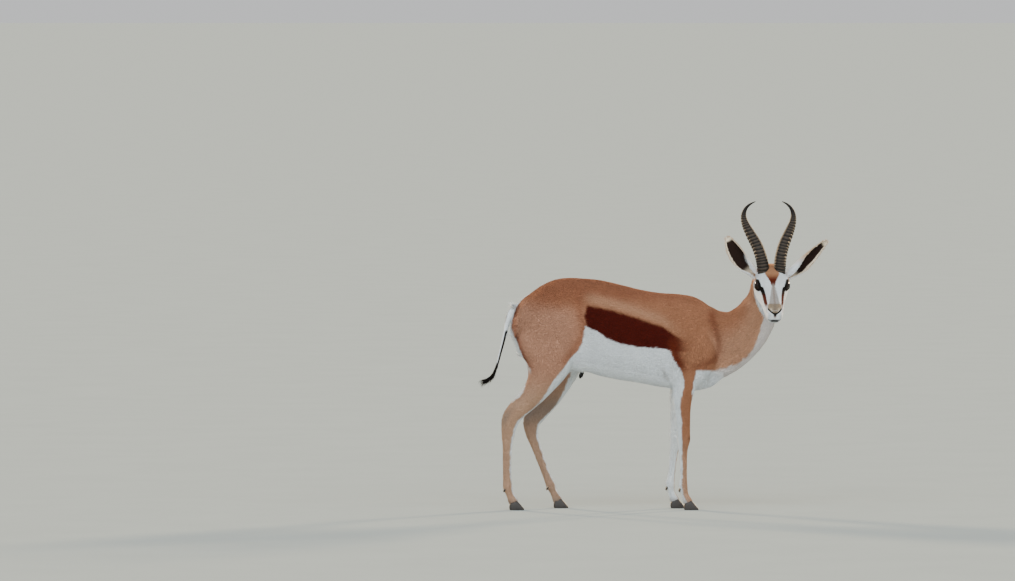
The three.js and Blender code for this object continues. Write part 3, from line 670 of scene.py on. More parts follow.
def survey(points):
    places = {name: locate(path, points) for name, path in paths.items()}
    reaches = [places[name]["reach"] for name in paths]
    for name, ear in ears.items():
        places[name] = inEar(ear["path"], points)
        reaches.append(1 + places[name]["away"] / 20)
    reaches = np.array(reaches)
    shares = np.exp(-(reaches - reaches.min(0)) / 0.05)
    shares = dict(zip([*paths, *ears], shares / shares.sum(0)))
    x, y, z = points.T
    down = 0.2 + 0.8 * ramp(-270, -360, x) + 0.7 * ramp(60, 130, x) * ramp(760, 640, z)
    down = down * ramp(15, 60, np.abs(y)) + 1.5 * ramp(-465, -500, x) + ramp(225, 270, x)
    lie = unit(np.stack([-np.ones(len(points)), 0 * x, -down], -1)) * shares["torso"][:, None]
    for name, way in lieAlong.items():
        along = paths[name]["along"][places[name]["nearest"]]
        lie += way * along * shares[name][:, None]
    lie = lie - upward * (1.5 * shares["head"] * ramp(26, 6, toHead(points)[:, 0]))[:, None]
    for name, ear in ears.items():
        lie += ear["path"]["along"][places[name]["nearest"]] * shares[name][:, None]
    return places, shares, unit(lie)


# An sRGB hex colour as linear values.
def unhex(code):
    value = np.array([int(code[i : i + 2], 16) for i in (1, 3, 5)]) / 255
    return np.where(value < 0.04045, value / 12.92, ((value + 0.055) / 1.055) ** 2.4)


# Colours of the hair, by the place where each is seen.
coatHex = {
    "fawn": "#a97557", "haunch": "#ba8b72", "back": "#956046", "tan": "#c59a7b",
    "neck": "#bf9174", "band": "#4c1005", "rust": "#672815", "white": "#ebf1f5",
    "cream": "#f6e7cf", "shank": "#bc987e", "grey": "#857a72", "muzzle": "#aaa199",
    "nose": "#988468", "brow": "#b98763", "black": "#120d0b", "earInside": "#281a15",
    "earBack": "#c9b196",
}
coat = {name: unhex(code) for name, code in coatHex.items()}


def plain(points, name):
    return np.tile(coat[name], (len(points), 1))


def over(colour, name, mask):
    return colour + (coat[name] - colour) * np.clip(mask, 0, 1)[:, None]


# From 0 to 1 across a border of the markings, where the hair mixes over a few millimetres.
def border(distance, half=3):
    return ramp(-half, half, distance)


# Borders of the markings on the body, the same on both sides: the flank's dark band, as X and its
# height, the belly's white in front and behind, as height and X, the chest's white, as X and its
# height, and the rump's white, as height and X.
bandTop = [(-245, 736), (-194, 728), (-119, 709), (-43, 684), (32, 659), (83, 626), (110, 610)]
bandLow = [(-245, 664), (-205, 648), (-169, 623), (-119, 601), (-54, 590), (25, 583), (110, 572)]
bellyFront = [
    (380, 113), (454, 113), (487, 107), (516, 93), (542, 74), (572, 63), (581, 49), (600, 30),
]
bellyRear = [(457, -371), (500, -331), (547, -299), (576, -270), (612, -252), (652, -247), (680, -243)]
chestTop = [(140, 505), (247, 502), (276, 498), (313, 518), (328, 536), (367, 587), (392, 659)]
rumpEdge = [
    (500, -438), (510, -442), (539, -461), (580, -481), (626, -495), (663, -502), (704, -500),
    (729, -494), (742, -484), (752, -500),
]
# The throat's white, by the share of the neck's length and how far round to the front it starts.
throatEdge = [
    (0, 0.6), (0.2, 0.71), (0.28, 0.8), (0.37, 0.87), (0.46, 0.8), (0.57, 0.66),
    (0.7, 0.7), (1, 0.5),
]
# Darker colour along the folds of elbow, shoulder and haunch, as X and height: reddish hair with
# painted shade at elbow and shoulder, painted shade alone at the haunch and in the elbow's crease.
elbowRustAndShade = [(72, 600), (83, 550), (101, 515), (117, 480)]
shoulderRustAndShade = [(212, 700), (223, 659), (238, 610), (236, 572), (222, 544), (185, 524), (150, 512)]
haunchFoldShade = [(-272, 752), (-262, 700), (-246, 665), (-256, 620), (-285, 582), (-318, 540)]
elbowCreaseShade = [(34, 506), (44, 492), (54, 470)]
# White down the front of a hind leg: height and width in millimetres. Down a foreleg: height and the
# shares of its depth where the white of its back ends and that of its front begins.
hindWhite = [
    (60, 4), (205, 6), (265, 9), (325, 7), (367, 4), (400, 9), (435, 18), (474, 28),
    (504, 30), (545, 20),
]
foreWhite = [
    (60, -0.3, 1.5), (263, -0.25, 1.4), (392, -0.18, 1.0), (430, -0.02, 0.75),
    (454, -0.05, 0.6), (465, -0.13, 0.5), (487, -0.42, 0.35), (516, -0.75, 0.22),
    (545, -1.0, 0.2),
]
# Half the width of the white of the cheeks at each height, seen from under the throat.
cheekHalf = [(690, 10), (706, 24), (722, 37), (745, 48), (775, 55), (802, 57)]


# A line's value at the given places, moved by the raggedness of the hair.
def lineAt(line, at, ragged=0, column=1):
    rows = np.array(line, float)
    return np.interp(at, rows[:, 0], rows[:, column]) + ragged


# Where two colours of hair mix, their border wanders by a millimetre or two, in tufts.
def raggedness(points):
    return 1.1 * wander(points, 9, 1) + 1.3 * wander(points, 45, 2)


def bodyColour(points, shares):
    x, y, z = points.T
    ragged = raggedness(points)
    colour = plain(points, "fawn")
    flat = np.stack([x, z], -1)
    colour = over(colour, "haunch", ramp(-190, -330, x) * ramp(790, 700, z + 0.15 * x + 60))
    colour = over(colour, "back", ramp(722, 785, z + 8 * wander(points, 120, 2)) * 0.85)
    colour = over(colour, "back", 0.5 * bell(fromPath(flat, [(-420, 757), (-250, 790)]), 42))
    above = z - lineAt(bandTop, x)
    colour = over(colour, "tan", bell(above - 27, 20) * ramp(-268, -212, x) * ramp(130, 0, x) * 0.6)
    # Painted shade in the fold at the front of the haunch.
    colour = over(colour, "back", 0.55 * bell(fromPath(flat, haunchFoldShade), 15))
    band = ramp(-9, 7, lineAt(bandTop, x, ragged) - z) * border(z - lineAt(bandLow, x, ragged))
    corner = ramp(-252, -238, x + ragged - 0.25 * np.abs(z - 700))
    colour = over(colour, "rust", band * corner * ramp(150, 60, x))
    colour = over(colour, "band", band * corner * ramp(120, 45, x))
    # Reddish hair and painted shade along the elbow's fold.
    colour = over(colour, "rust", 0.95 * bell(fromPath(flat, elbowRustAndShade), 20) * ramp(-60, 20, z - 490))
    # Reddish hair and painted shade along the fold at the front of the shoulder.
    colour = over(colour, "rust", 0.5 * bell(fromPath(flat, shoulderRustAndShade), 15))
    belly = border(lineAt(bandLow, x, ragged) - z)
    belly = belly * border(x - lineAt(bellyRear, z, ragged))
    belly = belly * border(lineAt(bellyFront, z, ragged) - x)
    chest = border(lineAt(chestTop, x, ragged) - z) * border(x - 143 - 0.22 * (z - 460) + ragged)
    under = ramp(505, 470, z) * ramp(-400, -330, x) * ramp(60, 30, np.abs(y))
    edge = lineAt(rumpEdge, z, ragged)
    rump = border(edge - x) * ramp(470, 500, z)
    tinge = bell(np.maximum(x - edge, 0), 13) * ramp(480, 540, z) * ramp(770, 735, z)
    colour = over(colour, "rust", 0.7 * tinge)
    fan = ramp(3, -3, np.abs(y) - 4 - 14 * ramp(-430, -480, x))
    fan = fan * ramp(720, 745, z) * ramp(-330, -350, x)
    white = np.maximum.reduce([belly, chest, under, rump, fan])
    colour = over(colour, "white", white * ramp(60, 30, 200 * shares["neck"] * (x > 260)))
    # Painted shade in the small crease at the elbow.
    return over(colour, "grey", 0.4 * bell(fromPath(flat, elbowCreaseShade), 5))


def neckColour(points, places):
    here = places["neck"]
    colour = plain(points, "neck")
    colour = over(colour, "fawn", ramp(0.2, -0.6, here["forward"]) * ramp(0.9, 0.5, here["share"]))
    flat = points[:, [0, 2]]
    # Reddish hair and painted shade along the fold at the front of the shoulder.
    colour = over(colour, "rust", 0.5 * bell(fromPath(flat, shoulderRustAndShade), 15))
    edge = lineAt(throatEdge, here["share"], 0.02 * raggedness(points))
    edge = edge - 0.45 * ramp(0, 40, points[:, 1]) * bell(here["share"] - 0.6, 0.17)
    throat = ramp(-0.04, 0.04, here["forward"] / here["reach"] - edge)
    local = toHead(points)
    cheek = border(lineAt(cheekHalf, points[:, 2]) - np.abs(local[:, 1])) * ramp(40, 60, local[:, 0])
    colour = over(colour, "white", np.maximum(throat, cheek * ramp(835, 805, points[:, 2])))
    # Painted shade: the middle of the throat's white is tinted tan.
    amid = ramp(0.8, 0.55, here["share"]) * ramp(0.1, 0.3, here["share"])
    return over(colour, "tan", 0.35 * throat * amid)


def legColour(points, place, leg):
    z = points[:, 2]
    ragged = raggedness(points)
    outer = leg["side"] * place["across"] * leg["turn"]
    front = place["forward"]
    depth = leg["path"]["depth"][place["nearest"]]
    if leg["kind"] == "hind":
        colour = over(plain(points, "haunch"), "shank", ramp(520, 380, z + 6 * ragged))
        # Painted shade: grey on the inner face of the hind leg, strongest about the hock.
        colour = over(colour, "grey", ramp(0.2, -0.4, outer) * (0.2 + 0.55 * bell(z - 355, 55)))
        colour = over(colour, "grey", 0.5 * bell(z - 335, 30) * ramp(0, 0.6, -front))
        white = border(front * depth - depth + lineAt(hindWhite, z, ragged), 2.5)
        wide = 12 * ramp(372, 410, z) * np.maximum(ramp(480, 420, z), ramp(0.1, -0.2, outer))
        white = np.maximum(white, 0.85 * ramp(0, 5, wide + ragged - front * depth - depth))
    else:
        colour = over(plain(points, "fawn"), "shank", 0.8 * ramp(300, 120, z))
        colour = over(colour, "black", 0.5 * bell(z - 259, 6) * ramp(0.55, 0.8, front))
        back = ramp(2.5, -2.5, (front - lineAt(foreWhite, z)) * depth + ragged)
        lead = border((front - lineAt(foreWhite, z, 0, 2)) * depth + ragged, 2.5) * ramp(508, 500, z)
        inner = ramp(-0.2, -0.5, outer + 0.02 * ragged)
        white = np.maximum.reduce([back, lead, inner]) * ramp(575, 520, z)
    colour = over(colour, "white", white)
    return over(colour, "grey", 0.45 * ramp(46, 28, z))


# The face's markings are set by their height in the world and by how far they reach across the head:
# the patch of the brow, the bridge of the nose, the stripe from eye to mouth and the hair at the ears.
browHalf = [(808, 3), (812, 6), (825, 10), (840, 19), (851, 26), (868, 24), (890, 15), (905, 11)]
bridgeHalf = [
    (711, 6), (716, 13), (722, 20), (727, 24), (740, 24.5), (747, 20), (754, 17.2),
    (768, 14.2), (782, 11.5), (796, 8.5), (808, 6), (818, 5),
]
tearPath = [(50, 801), (41, 799), (37, 790), (33, 773), (29, 745), (28, 732), (28, 716)]
tearHalf = [(716, 1.5), (735, 3.2), (745, 4.9), (790, 6), (800, 7)]
earSeam = [(825, 58), (852, 56), (872, 50)]


def headColour(points, places):
    local = toHead(points)
    mirrored = folded(local)
    x, side, z = mirrored.T
    height = points[:, 2]
    ragged = 0.8 * wander(points, 7, 5)
    colour = plain(points, "white")
    nape = ramp(58, 40, x + 0.5 * z) * ramp(-28, -10, z)
    colour = over(colour, "neck", np.maximum(nape, ramp(36, 24, x)))
    temple = border(side - lineAt(earSeam, height, ragged)) * ramp(96, 86, x) * ramp(800, 815, height)
    colour = over(colour, "brow", temple)
    upper = ramp(-20, 0, z)
    brow = ramp(-2.4, 2.4, lineAt(browHalf, height, ragged) - side) * upper
    colour = over(colour, "brow", brow)
    colour = over(colour, "rust", brow * ramp(856, 830, height))
    colour = over(colour, "band", 0.5 * brow * ramp(836, 818, height))
    bridge = border(lineAt(bridgeHalf, height, ragged) - side, 1.6) * upper * ramp(708, 711, height)
    colour = over(colour, "muzzle", bridge * ramp(824, 806, height) * 0.85)
    nose = bridge * ramp(750, 744, height)
    colour = over(colour, "nose", 0.85 * nose)
    colour = over(colour, "grey", 0.45 * nose * bell(side, 6))
    # Painted highlight: a pale cream spot on each side of the nose above the nostrils.
    colour = over(colour, "cream", 0.55 * nose * bell(np.hypot(side - 15, height - 727), 5))
    flat = np.stack([side, height], -1)
    width = lineAt(tearHalf, height)
    tear = ramp(-1, 1, width + 0.5 * ragged - fromPath(flat, tearPath)) * (x > 90)
    colour = over(colour, "band", tear * (0.25 + 0.75 * ramp(730, 748, height)))
    colour = over(colour, "black", tear * ramp(768, 788, height))
    for way in (-1, 1):
        inside, apart, offset = inAlmond(local, way)
        near = (apart < 30).astype(float)
        high = eyeAxes(way)[1]
        above = border(offset @ high * np.sign(high[2]))
        forwards = ramp(0, 8, offset[:, 0])
        rim = 2 + 6 * np.maximum(above, forwards)
        colour = over(colour, "black", ramp(-rim, 1.5 - rim, inside) * near)
        back = fromPath(local * np.array([1, way, 1]), [(120, 42, 5), (126, 40, -4)])
        colour = over(colour, "black", ramp(6, 4, back))
    nosePad = ramp(241, 243.5, x) * ramp(6.5, 4.5, side) * ramp(-9, -6, z)
    colour = over(colour, "black", 0.9 * nosePad)
    colour = over(colour, "black", ramp(3.6, 2.6, fromFaceLine(local, nostrilLine)))
    # Painted shade: grey beside the mouth's crease.
    colour = over(colour, "grey", 0.6 * ramp(3.4, 1.8, fromPath(mirrored, mouthPath[2:])))
    colour = over(colour, "black", 0.7 * ramp(3.4, 2, fromPath(mirrored, mouthPath[3:])))
    lip = ramp(8, 4, fromPath(mirrored, [(242, 10, -31), (245, 0, -31)])) * ramp(16, 11, side)
    return over(colour, "black", 0.85 * lip)


def earColour(points, place, way):
    share, sweep = place["share"], place["sweep"] * way
    ragged = 0.03 * wander(points, 9, 6)
    inside = ramp(0.35, 0.65, place["depth"])
    back = over(plain(points, "earBack"), "white", ramp(0.5, 0.2, share))
    back = over(back, "fawn", 0.5 * ramp(0.75, 1, share))
    strip = ramp(-0.1, 0.1, sweep + ragged - 0.1 - 1.2 * ramp(0.3, 0.62, share))
    # Painted shade: the strip of white hair inside the cup is mixed only half way to white, so it
    # shows grey.
    cup = over(plain(points, "earInside"), "white", 0.45 * strip)
    cup = over(cup, "cream", ramp(0.76, 0.82, np.maximum(np.abs(sweep) + ragged, share - 0.1)))
    cup = over(cup, "cream", 0.8 * ramp(0.26, 0.14, share))
    return back + (cup - back) * inside[:, None]


def tailColour(points, place):
    share = place["share"] + 0.01 * wander(points, 10, 7)
    colour = plain(points, "white")
    fringe = ramp(0.38, 0.4, share) * ramp(-0.5, -0.1, place["forward"] / place["reach"])
    return over(colour, "black", np.maximum(fringe, ramp(0.74, 0.8, share)))


# Each form's colours, mixed by how far a point belongs to it. The tops of the legs wear the body's.
def coatColour(points, places, shares):
    body = bodyColour(points, shares)
    colour = body * shares["torso"][:, None]
    colour += neckColour(points, places) * shares["neck"][:, None]
    colour += headColour(points, places) * shares["head"][:, None]
    colour += tailColour(points, places["tail"]) * shares["tail"][:, None]
    colour += coat["black"] * shares["sheath"][:, None]
    high = ramp(480, 540, points[:, 2])[:, None]
    for name, leg in legs.items():
        limbs = legColour(points, places[name], leg) * (1 - high) + body * high
        colour += limbs * shares[name][:, None]
    for (name, ear), way in zip(ears.items(), (1, -1)):
        colour += earColour(points, places[name], way) * shares[name][:, None]
    return colour


places, shares, _ = survey(points)
print("skin surveyed")
nape = bell(places["head"]["reach"] - 1, 0.2) * bell(places["neck"]["reach"] - 1, 0.28)
points = relax(points, edges, 0.6 * np.clip(nape * 1.5 - 0.2, 0, 1), skinForm["napeRounds"])
movePoints(mesh, points)

# The skin lies inside the solids by the depth of the coat, but not at the eyes.
coatDepth = {"torso": 2.6, "neck": 2.8, "head": 1.0, "tail": 0.3, "sheath": 0.5}
coatDepth |= {name: 0.3 for name in ears} | {name: 1.4 for name in legs}
depth = sum(share * coatDepth[name] for name, share in shares.items())
for side in (-1, 1):
    depth = depth * ramp(20, 34, inAlmond(toHead(points), side)[1])
points = points - pointNormals(mesh) * depth[:, None]


# The height of the slanted line where a leg's hooves begin.
def hoofLine(leg, x):
    return 24 + 0.4 * (x - leg["toe"][0])


for name, leg in legs.items():
    mine = (shares[name] > 0.5) & (points[:, 2] < 60)
    low = hoofLine(leg, points[:, 0])
    points[:, 2] = np.where(mine, np.maximum(points[:, 2], low), points[:, 2])
movePoints(mesh, points)


def setColour(mesh, name, colours):
    layer = mesh.attributes.new(name, "FLOAT_COLOR", "POINT")
    layer.data.foreach_set("color", np.c_[colours, np.ones(len(colours))].astype(np.float32).ravel())


setColour(mesh, "coatColour", coatColour(points, places, shares))
mesh.polygons.foreach_set("use_smooth", np.full(len(mesh.polygons), True))
skin = link(bpy.data.objects.new("skin", mesh))
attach(skin, "root")
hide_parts("head", "neck", "torso", "tail", "sheath", *ears)
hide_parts(*legs, *(name + end for name in legs for end in ("_cannon", "_foot")))
print("skin made:", len(points), "points", len(mesh.polygons), "faces")


# Adds a node of a kind with its settings and its sockets' values or links, and returns one output.
def addNode(material, kind, sockets=None, output=0, **settings):
    tree = material.node_tree
    node = tree.nodes.new("ShaderNode" + kind)
    for key, value in settings.items():
        setattr(node, key, value)
    for key, value in (sockets or {}).items():
        socket = node.inputs[key]
        if isinstance(value, bpy.types.NodeSocket):
            tree.links.new(value, socket)
        elif np.ndim(value) == 1 and socket.type == "RGBA":
            socket.default_value = (*value[:3], 1)
        else:
            socket.default_value = value
    return node.outputs[output]


# A new material and the place on the object that its patterns read, in metres.
def newMaterial(name):
    material = bpy.data.materials.new(name)
    material.use_nodes = True
    material.node_tree.nodes.remove(material.node_tree.nodes["Principled BSDF"])
    return material, addNode(material, "TexCoord", output="Object")


def finishMaterial(material, sockets):
    shader = addNode(material, "BsdfPrincipled", sockets)
    end = material.node_tree.nodes["Material Output"]
    material.node_tree.links.new(shader, end.inputs[0])
    return material


# Settings of a Mix node for two colours: A in socket 6, B in socket 7, the result in output 2.
mixColours = {"output": 2, "data_type": "RGBA"}
multiply = mixColours | {"blend_type": "MULTIPLY"}


# Fur reads the markings' colour from the mesh. On the skin it is broken by streaks about 1 mm wide
# and 12 mm long that run along the body, on the tufts by specks of 2 mm, and on both by faint patches
# a hand wide. It is matt, with a weak sheen, as short dry hair is.
def furMaterial(name, fine, contrast, roughness, relief):
    material, place = newMaterial(name)
    colour = addNode(material, "Attribute", output="Color", attribute_name="coatColour")
    spread = addNode(material, "Mapping", {"Vector": place, "Scale": fine["scale"]})
    strand = addNode(material, "TexNoise", {"Vector": spread, "Scale": 1.0, "Detail": fine["detail"]})
    patch = addNode(material, "TexNoise", {"Vector": place, "Scale": 14.0, "Detail": 3.0})
    for noise, part in ((strand, contrast), (patch, 0.1)):
        tone = addNode(material, "MapRange", {"Value": noise, "To Min": 1 - part, "To Max": 1 + part})
        colour = addNode(material, "Mix", {0: 1.0, 6: colour, 7: tone}, **multiply)
    sockets = {"Base Color": colour, "Roughness": roughness, "Specular IOR Level": 0.15}
    if relief:
        raised = {"Height": strand, "Strength": relief, "Distance": 0.001}
        sockets["Normal"] = addNode(material, "Bump", raised)
    return finishMaterial(material, sockets)


skinFur = furMaterial("short_fur_skin", {"scale": (90, 900, 420), "detail": 3.0}, 0.3, 0.85, 0.5)
skin.data.materials.clear()
skin.data.materials.append(skinFur)


# Puts a number for each point into a mesh, from a grid like the one it was made of.
def setFactor(item, name, grid):
    values = np.concatenate([grid[:1, 0], grid[1:-1].ravel(), grid[-1:, 0]])
    layer = item.data.attributes.new(name, "FLOAT", "POINT")
    layer.data.foreach_set("value", np.clip(values, 0, 1).astype(np.float32))


# Horns: how many rings, the share of the length that has them, how far they stand out, the colours
# of the horn and of its crests, and rows of across, back, up and radius from between the roots.
horns = {
    "rings": 26,
    "ringed": 0.74,
    "crest": 2.7,
    "dark": "#0d0a08",
    "bloom": "#51463b",
    "rows": [
        (27, 2, -30, 20), (29.5, 0, 0, 21.5), (34.5, 14, 38, 21), (47, 37, 80, 20.2),
        (68, 65, 123, 17.6), (84.5, 85, 159, 13.4), (90, 95, 188, 9.6), (84, 97, 211, 6.6),
        (69, 93, 228, 4), (48, 85, 240, 1.2),
    ],
}
hornMiddle = fromHead((46, 0, 38))


# Radius = the station's radius + crest x ridge x worn. A ridge is a wave along the horn with a
# sharp top, tilted so that it is lower at the back, and it is worn flat on the inner side.
def hornForm(side):
    rows = np.array(horns["rows"], float)
    share = np.linspace(0, 1, len(rows))
    at = np.linspace(0, 1, 521)
    path = besideHead(hornMiddle, side * rows[:, :1], rows[:, 1:2], rows[:, 2:3])
    centre, radius = between(share, path, at), between(share, rows[:, 3], at)
    along = unit(between(share, path, at + 0.004) - between(share, path, at - 0.004))
    outer = unit(side * leftward - along * (along @ (side * leftward))[:, None])
    front = np.cross(along, outer)
    front = front * np.sign(front @ ahead)[:, None]
    angle = roundTurn(72)
    facing = 0.75 * np.sin(angle) + 0.5 * np.cos(angle)
    worn = 0.16 + 0.84 * ramp(-0.75, 0.6, facing)
    number = (at[:, None] / horns["ringed"]) ** 0.92 * horns["rings"]
    number = number + 0.28 * np.cos(angle) + 0.15 * np.sin(at * 37 + side)[:, None]
    number = number + 0.06 * np.sin(3 * angle + 5 * at[:, None])
    wave = (number % 1.0) - 0.62
    ridge = np.where(wave > 0, 1 - (wave / 0.38) ** 1.6, 1 - (-wave / 0.62) ** 0.9)
    fade = ramp(horns["ringed"] + 0.04, horns["ringed"] - 0.14, at)[:, None]
    grow = horns["crest"] * (1 - 0.45 * at[:, None]) * (ridge - 0.35) * worn * fade
    r = radius[:, None] + grow * ramp(0, 3, radius)[:, None]
    points = (
        centre[:, None]
        + front[:, None] * (1.06 * r * np.cos(angle))[..., None]
        + outer[:, None] * (r * np.sin(angle))[..., None]
    )
    points[0], points[-1] = centre[0], centre[-1]
    return points, ridge * worn * fade


# Dark keratin: black-brown with a grey bloom on the crests, fine lengthwise fibres and a satin shine.
def hornMaterial():
    material, place = newMaterial("ringed_horn_keratin")
    crest = addNode(material, "Attribute", output="Fac", attribute_name="crest")
    stretched = addNode(material, "Mapping", {"Vector": place, "Scale": (700, 700, 60)})
    fibre = addNode(material, "TexNoise", {"Vector": stretched, "Scale": 1.0, "Detail": 4.0})
    blotch = addNode(material, "TexNoise", {"Vector": place, "Scale": 60.0, "Detail": 5.0})
    share = addNode(material, "Math", {0: crest, 1: fibre}, operation="MULTIPLY")
    share = addNode(material, "MapRange", {"Value": share, "To Min": -0.1, "To Max": 1.5})
    ends = {0: share, 6: unhex(horns["dark"]), 7: unhex(horns["bloom"])}
    colour = addNode(material, "Mix", ends, **mixColours)
    tone = addNode(material, "MapRange", {"Value": blotch, "To Min": 0.65, "To Max": 1.35})
    colour = addNode(material, "Mix", {0: 1.0, 6: colour, 7: tone}, **multiply)
    bump = addNode(material, "Bump", {"Height": fibre, "Strength": 0.35, "Distance": 0.0006})
    rough = addNode(material, "MapRange", {"Value": blotch, "To Min": 0.5, "To Max": 0.75})
    sockets = {"Base Color": colour, "Roughness": rough, "Normal": bump, "Specular IOR Level": 0.25}
    return finishMaterial(material, sockets)


hornKeratin = hornMaterial()
for name, side in (("horn_left", 1), ("horn_right", -1)):
    grid, crest = hornForm(side)
    item = meshObject(name + "_ringed", *closedMesh(grid))
    setFactor(item, "crest", crest)
    item.data.materials.append(hornKeratin)
    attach(item, "root")
    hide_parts(name)
print("horns made")


# Eyes: a ball with a clear bulge, near black, with a long level pupil in a dark brown iris.
# Radius = the ball's + 0.7 x a bell of the angle from where the eye looks.
def eyeForm(side):
    long, high, look = eyeAxes(side)
    v, u = np.linspace(0, np.pi, 49), roundTurn(64)
    x = np.sin(v)[:, None] * np.cos(u)
    y = np.sin(v)[:, None] * np.sin(u)
    z = np.cos(v)[:, None] + 0 * u
    r = eyes["radius"] + 0.7 * bell(np.arccos(np.clip(z, -1, 1)), 0.62)
    points = r[..., None] * (x[..., None] * long + y[..., None] * high + z[..., None] * look)
    iris = ramp(0.78, 0.62, np.hypot(x, y)) * (z > 0)
    pupil = ramp(1.12, 0.9, np.hypot(x / 0.42, y / 0.2)) * (z > 0)
    return fromHead(points + eyeCentre(side)), iris, pupil


# A wet cornea: a smooth clear film with small bright glints over an iris flecked by the millimetre.
def eyeMaterial():
    material, place = newMaterial("wet_dark_eye")
    iris = addNode(material, "Attribute", output="Fac", attribute_name="iris")
    pupil = addNode(material, "Attribute", output="Fac", attribute_name="pupil")
    fleck = addNode(material, "TexNoise", {"Vector": place, "Scale": 900.0, "Detail": 3.0})
    tone = addNode(material, "MapRange", {"Value": fleck, "To Min": 0.5, "To Max": 1.6})
    brown = addNode(material, "Mix", {0: 1.0, 6: unhex(eyes["iris"]), 7: tone}, **multiply)
    colour = addNode(material, "Mix", {0: iris, 6: unhex(eyes["ball"]), 7: brown}, **mixColours)
    colour = addNode(material, "Mix", {0: pupil, 6: colour, 7: unhex(eyes["pupil"])}, **mixColours)
    sockets = {"Base Color": colour, "Roughness": 0.08, "Coat Weight": 0.2, "Coat Roughness": 0.02}
    return finishMaterial(material, sockets | {"Specular IOR Level": 0.2})


wetEye = eyeMaterial()
for name, side in (("eye_left", 1), ("eye_right", -1)):
    grid, *layers = eyeForm(side)
    item = meshObject(name + "_ball", *closedMesh(grid))
    for key, layer in zip(("iris", "pupil"), layers):
        setFactor(item, key, layer)
    item.data.materials.append(wetEye)
    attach(item, "root")
    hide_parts(name)

# Hooves: two to a foot, each a wedge pointed in front. Rows of place, top, low, middle, half width.
hoofStations = [
    (-21, 16, 6, 9, 2), (-17, 25, -1, 9, 6.5), (-6, 36, -3, 9, 8.6), (6, 34, -3, 9, 8.6),
    (19, 21, -3, 7, 6.8), (28, 10, -2, 4, 3.8), (33, 4, 0, 2, 1),
]
# How far each stands to its side of the foot, its turn outwards in degrees, how far ahead it stands,
# the height of its slanted top, and its colours.
hooves = {"spread": 9.2, "turn": 4, "ahead": 6, "top": 28.5, "dark": "#12100f", "worn": "#3a332e"}


# Keratin with growth lines level with the floor, about 2 mm apart, and dull scuffed patches.
def hoofMaterial():
    material, place = newMaterial("hoof_keratin")
    waves = {"Vector": place, "Scale": 160.0, "Distortion": 2.0, "Detail": 2.0, "Detail Scale": 2.0}
    line = addNode(material, "TexWave", waves, output="Fac", bands_direction="Z")
    blotch = addNode(material, "TexNoise", {"Vector": place, "Scale": 90.0, "Detail": 5.0})
    ends = {0: blotch, 6: unhex(hooves["dark"]), 7: unhex(hooves["worn"])}
    colour = addNode(material, "Mix", ends, **mixColours)
    rough = addNode(material, "MapRange", {"Value": blotch, "To Min": 0.35, "To Max": 0.6})
    bump = addNode(material, "Bump", {"Height": line, "Strength": 0.3, "Distance": 0.0005})
    return finishMaterial(material, {"Base Color": colour, "Roughness": rough, "Normal": bump})


hoofKeratin = hoofMaterial()
for name, leg in legs.items():
    for toes, way in (("outer", 1), ("inner", -1)):
        turned = np.radians(leg["side"] * way * hooves["turn"])
        x, y, z = np.moveaxis(trunk(hoofStations, 40, 36, (2.2, 4))[0], -1, 0)
        x, y = x * np.cos(turned) - y * np.sin(turned), x * np.sin(turned) + y * np.cos(turned)
        x = x + leg["toe"][0] + hooves["ahead"]
        y = y + leg["toe"][1] + leg["side"] * way * hooves["spread"]
        z = np.minimum(np.maximum(z, 0), hooves["top"] + 0.4 * (x - leg["toe"][0]))
        item = meshObject(f"hoof_{toes}_{name}_horny", *closedMesh(np.stack([x, y, z], -1)))
        item.data.materials.append(hoofKeratin)
        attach(item, "root")
        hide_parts(f"hoof_{toes}_{name}")
        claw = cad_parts[f"dewclaw_{toes}_{name}"]
        claw.data.materials.clear()
        claw.data.materials.append(hoofKeratin)
print("eyes and hooves made")

# Tufts: each is a flat closed blade of hair, rooted in the skin and lying along it. Its centre line
# rises from the root to lift over the skin, and its sections are thin triangles as wide as the
# profile says. Profile rows: share of the length, share of the lift, share of the width.
shortHair = [(0.42, 0.6, 1.0)]
longHair = [(0.15, 0.35, 0.8), (0.45, 0.75, 1.0), (0.78, 0.95, 0.55)]
# How deep a tuft is rooted, its thickness as a share of its half width, how much sizes differ, and how
# far in radians single tufts and whole swirls of them turn from the lie.
tuftForm = {"sink": 0.8, "thickness": 0.35, "uneven": 0.25, "twist": 0.16, "swirl": 0.22}


def tuftArrays(roots, normals, lies, lengths, lifts, widths, profile):
    count = len(roots)
    sides = np.cross(normals, lies)
    share, lift, width = np.array(profile, float).T
    centre = (
        roots[:, None]
        + lies[:, None] * (lengths[:, None] * share)[..., None]
        + normals[:, None] * (lifts[:, None] * lift)[..., None]
    )
    spread = sides[:, None] * (widths[:, None] * width)[..., None]
    thick = normals[:, None] * (tuftForm["thickness"] * widths[:, None] * width)[..., None]
    rings = np.stack([centre - spread, centre + thick, centre + spread], 2).reshape(count, -1, 3)
    start = roots - normals * tuftForm["sink"]
    tip = roots + lies * lengths[:, None] + normals * lifts[:, None]
    points = np.concatenate([start[:, None], rings, tip[:, None]], 1)
    last = points.shape[1] - 1
    faces = []
    for a, b in ((0, 1), (1, 2), (2, 0)):
        faces.append((0, 1 + b, 1 + a))
        for k in range(len(profile) - 1):
            low, high = 1 + 3 * k, 4 + 3 * k
            faces += [(low + a, low + b, high + b), (low + a, high + b, high + a)]
        faces.append((last - 3 + a, last - 3 + b, last))
    faces = np.array(faces)
    first = points[0][faces]
    a, b, c = (first[:, k] - roots[0] for k in (0, 1, 2))
    if dot(np.cross(a, b), c).sum() < 0:
        faces = faces[:, ::-1]
    faces = (np.arange(count)[:, None, None] * (last + 1) + faces).reshape(-1, 3)
    shares = np.concatenate([[0], np.repeat(share, 3), [1]])
    sideways = np.concatenate([[0], np.tile([-1, 0, 1], len(profile)), [0]])
    return points, faces, shares, sideways


